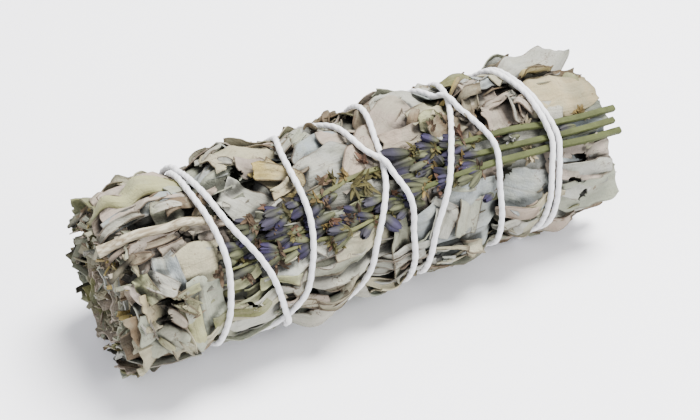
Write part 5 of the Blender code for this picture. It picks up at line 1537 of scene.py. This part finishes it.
def string_centre(turned, x, pile, lines, lavender):
    """Radius of the string's middle: over the leaves, over the lavender, and over itself.

    Over a stem the radius is that of a circle round it, and over calyces it is theirs with
    some more. Where two turns of the route cross, the one nearer to its start rises over the
    other on a circle two string radii wide.
    """
    base = pile.top(x, turned) + STRING_RADIUS * 0.75
    base = np.maximum(base, sample(lavender, x, turned) + STRING_RADIUS * 0.6)
    for line_x, line_turn, line_centre in lines:
        order = np.argsort(line_x)
        inside = (x > line_x.min()) & (x < line_x.max())
        there = np.interp(x, line_x[order], line_turn[order])
        top = np.interp(x, line_x[order], line_centre[order])
        arc = np.radians(wrapped(turned - there)) * UNROLL_RADIUS
        over = np.sqrt(np.maximum(1.5 ** 2 - arc ** 2, 0.0))
        base = np.where(inside & (over > 0.0), np.maximum(base, top + over), base)
    base = upper_envelope(base, 5, 6)
    slope = np.gradient(x, np.radians(turned) * UNROLL_RADIUS)
    centre = base
    for _ in range(4):
        wanted = base
        for turns in range(1, 10):
            later = turned + 360.0 * turns
            side = np.abs(np.interp(later, turned, x, right=999.0) - x) / np.sqrt(1.0 + slope ** 2)
            over = np.sqrt(np.maximum((2.0 * STRING_RADIUS) ** 2 - side ** 2, 0.0))
            lower = np.interp(later, turned, centre)
            wanted = np.where(over > 0.0, np.maximum(wanted, lower + over), wanted)
        centre = upper_envelope(wanted, 1, 2)
    return np.minimum(centre, floor_radius(turned, STRING_CLEAR))


def add_string(heap, path, twist_from=0.0):
    """Two plies wound round each other along a path, each a tube on a helix about the path."""
    step = np.linalg.norm(np.diff(path, axis=0), axis=1)
    gone = np.concatenate([[0.0], np.cumsum(step)])
    at = np.linspace(0.0, gone[-1], int(gone[-1] / 0.42) + 2)
    line = np.stack([np.interp(at, gone, path[:, k]) for k in range(3)], axis=-1)
    tangent = unit(np.gradient(line, axis=0))
    side = np.cross(tangent, [1.0, 0.0, 0.0]) + 1e-6
    weak = np.linalg.norm(side, axis=1, keepdims=True) < 0.2
    side = unit(np.where(weak, np.cross(tangent, [0.0, 0.3, 1.0]), side))
    up = np.cross(tangent, side)
    for ply in (0.0, math.pi):
        angle = (at * 2.0 * math.pi / PLY_TWIST + ply + twist_from)[:, None]
        centre = line + (side * np.cos(angle) + up * np.sin(angle)) * (STRING_RADIUS - PLY_RADIUS)
        points, faces = tube(*with_ends(centre, np.full(len(at), PLY_RADIUS)), np.ones(8))
        out = np.linalg.norm(points - np.concatenate([line[:1], line, line[-1:]])[:, None, :], axis=-1)
        # How far out from the string's middle, for the painted shade between the plies
        groove = np.clip((out - 0.15) / (STRING_RADIUS - 0.15), 0.0, 1.0)
        heap.add(points, faces, (0.9, 0.9, 0.9), facts_of(0.0, 0.0, groove, 1.0).reshape(-1, 4))


def make_string(pile, lines, lavender):
    """Binding string: out and back round the bunch, its knot at the back and its two short tails.

    The knot is a trefoil: a circle with a second, twice as quick, and a rise three times as quick.
    """
    turned, x = string_line(0.6)
    centre = string_centre(turned, x, pile, lines, lavender)
    heap = Heap()
    add_string(heap, to_space(x, turned, centre))
    knot_x, knot_turn = KNOT_PLACE
    start = (centre[0] + centre[-1]) / 2.0
    middle, ahead, around, outward = frame_at(knot_x, knot_turn, start + 0.5)
    t = np.linspace(0.0, 2.0 * math.pi, 60)[:, None]
    add_string(heap, middle + ahead * (np.sin(t) + 2.0 * np.sin(2.0 * t)) * 0.62
               + around * (np.cos(t) - 2.0 * np.cos(2.0 * t)) * 0.62 - outward * np.sin(3.0 * t) * 0.55)
    rng = np.random.default_rng(SEED + 4)
    steps = np.linspace(0.0, 1.0, 24)
    for reach, drift in ((6.5, 9.0), (-5.5, 13.0)):
        tail_x, tail_turn = knot_x + reach * steps, knot_turn + drift * steps ** 1.5
        ground = upper_envelope(pile.top(tail_x, tail_turn), 2, 2) + STRING_RADIUS
        tail = ground + (start + 0.8 - ground[0]) * (1.0 - steps) ** 2
        add_string(heap, to_space(tail_x, tail_turn, tail), rng.uniform(0.0, 6.3))
    heap.make("cotton_binding", string_surface(), "cotton_string", "binding_string")


def make_studio():
    """Pale floor, soft lights and the camera at the photograph's angle."""
    mesh = bpy.data.meshes.new("floor")
    mesh.from_pydata([(-3, -3, 0), (3, -3, 0), (3, 3, 0), (-3, 3, 0)], [], [(0, 1, 2, 3)])
    floor = bpy.data.objects.new("floor", mesh)
    bpy.context.scene.collection.objects.link(floor)
    mesh.materials.append(floor_surface())
    world = bpy.data.worlds.new("pale_room")
    bpy.context.scene.world = world
    world.use_nodes = True
    room = world.node_tree.nodes["Background"]
    room.inputs["Color"].default_value = ROOM_COLOUR
    room.inputs["Strength"].default_value = ROOM_LIGHT
    for name, place, size, power, colour in LAMPS:
        lamp = bpy.data.lights.new(name, "AREA")
        lamp.shape = "DISK"
        lamp.size = size
        lamp.energy = power
        lamp.color = colour
        light = bpy.data.objects.new(name, lamp)
        light.location = place
        light.rotation_euler = (AIM - Vector(place)).to_track_quat("-Z", "Y").to_euler()
        bpy.context.scene.collection.objects.link(light)
    turn, rise = math.radians(CAMERA_TURN), math.radians(CAMERA_RISE)
    back = Vector((math.sin(turn) * math.cos(rise), -math.cos(turn) * math.cos(rise), math.sin(rise)))
    right = Vector((math.cos(turn), math.sin(turn), 0.0))
    up = back.cross(right)
    lens = bpy.data.cameras.new("camera")
    lens.sensor_fit = "HORIZONTAL"
    lens.sensor_width = 36.0
    lens.lens = lens.sensor_width / 2.0 / math.tan(math.radians(HALF_FIELD))
    lens.clip_start = 0.01
    camera = bpy.data.objects.new("camera", lens)
    turned = Matrix((right, up, back)).transposed().to_4x4()
    turned.translation = AIM + back * CAMERA_DISTANCE + up * CAMERA_SHIFT
    camera.matrix_world = turned
    bpy.context.scene.collection.objects.link(camera)
    bpy.context.scene.camera = camera


def main():
    """Lay the leaves, the stems, the lavender and the string in the order they were bound."""
    pile = Pile()
    make_core()
    place_leaves(pile)
    rng = np.random.default_rng(SEED + 5)
    make_cut_end(rng).make("cut_leaf_ends", leaf_surface(), "sage_leaves", "sage_bundle")
    make_tip_end(rng).make("leaf_tips", leaf_surface(), "sage_leaves", "sage_bundle")
    stem_line = make_stems(pile)
    lines, lavender = make_lavender(pile)
    make_string(pile, lines + [stem_line], lavender)
    make_studio()


main()
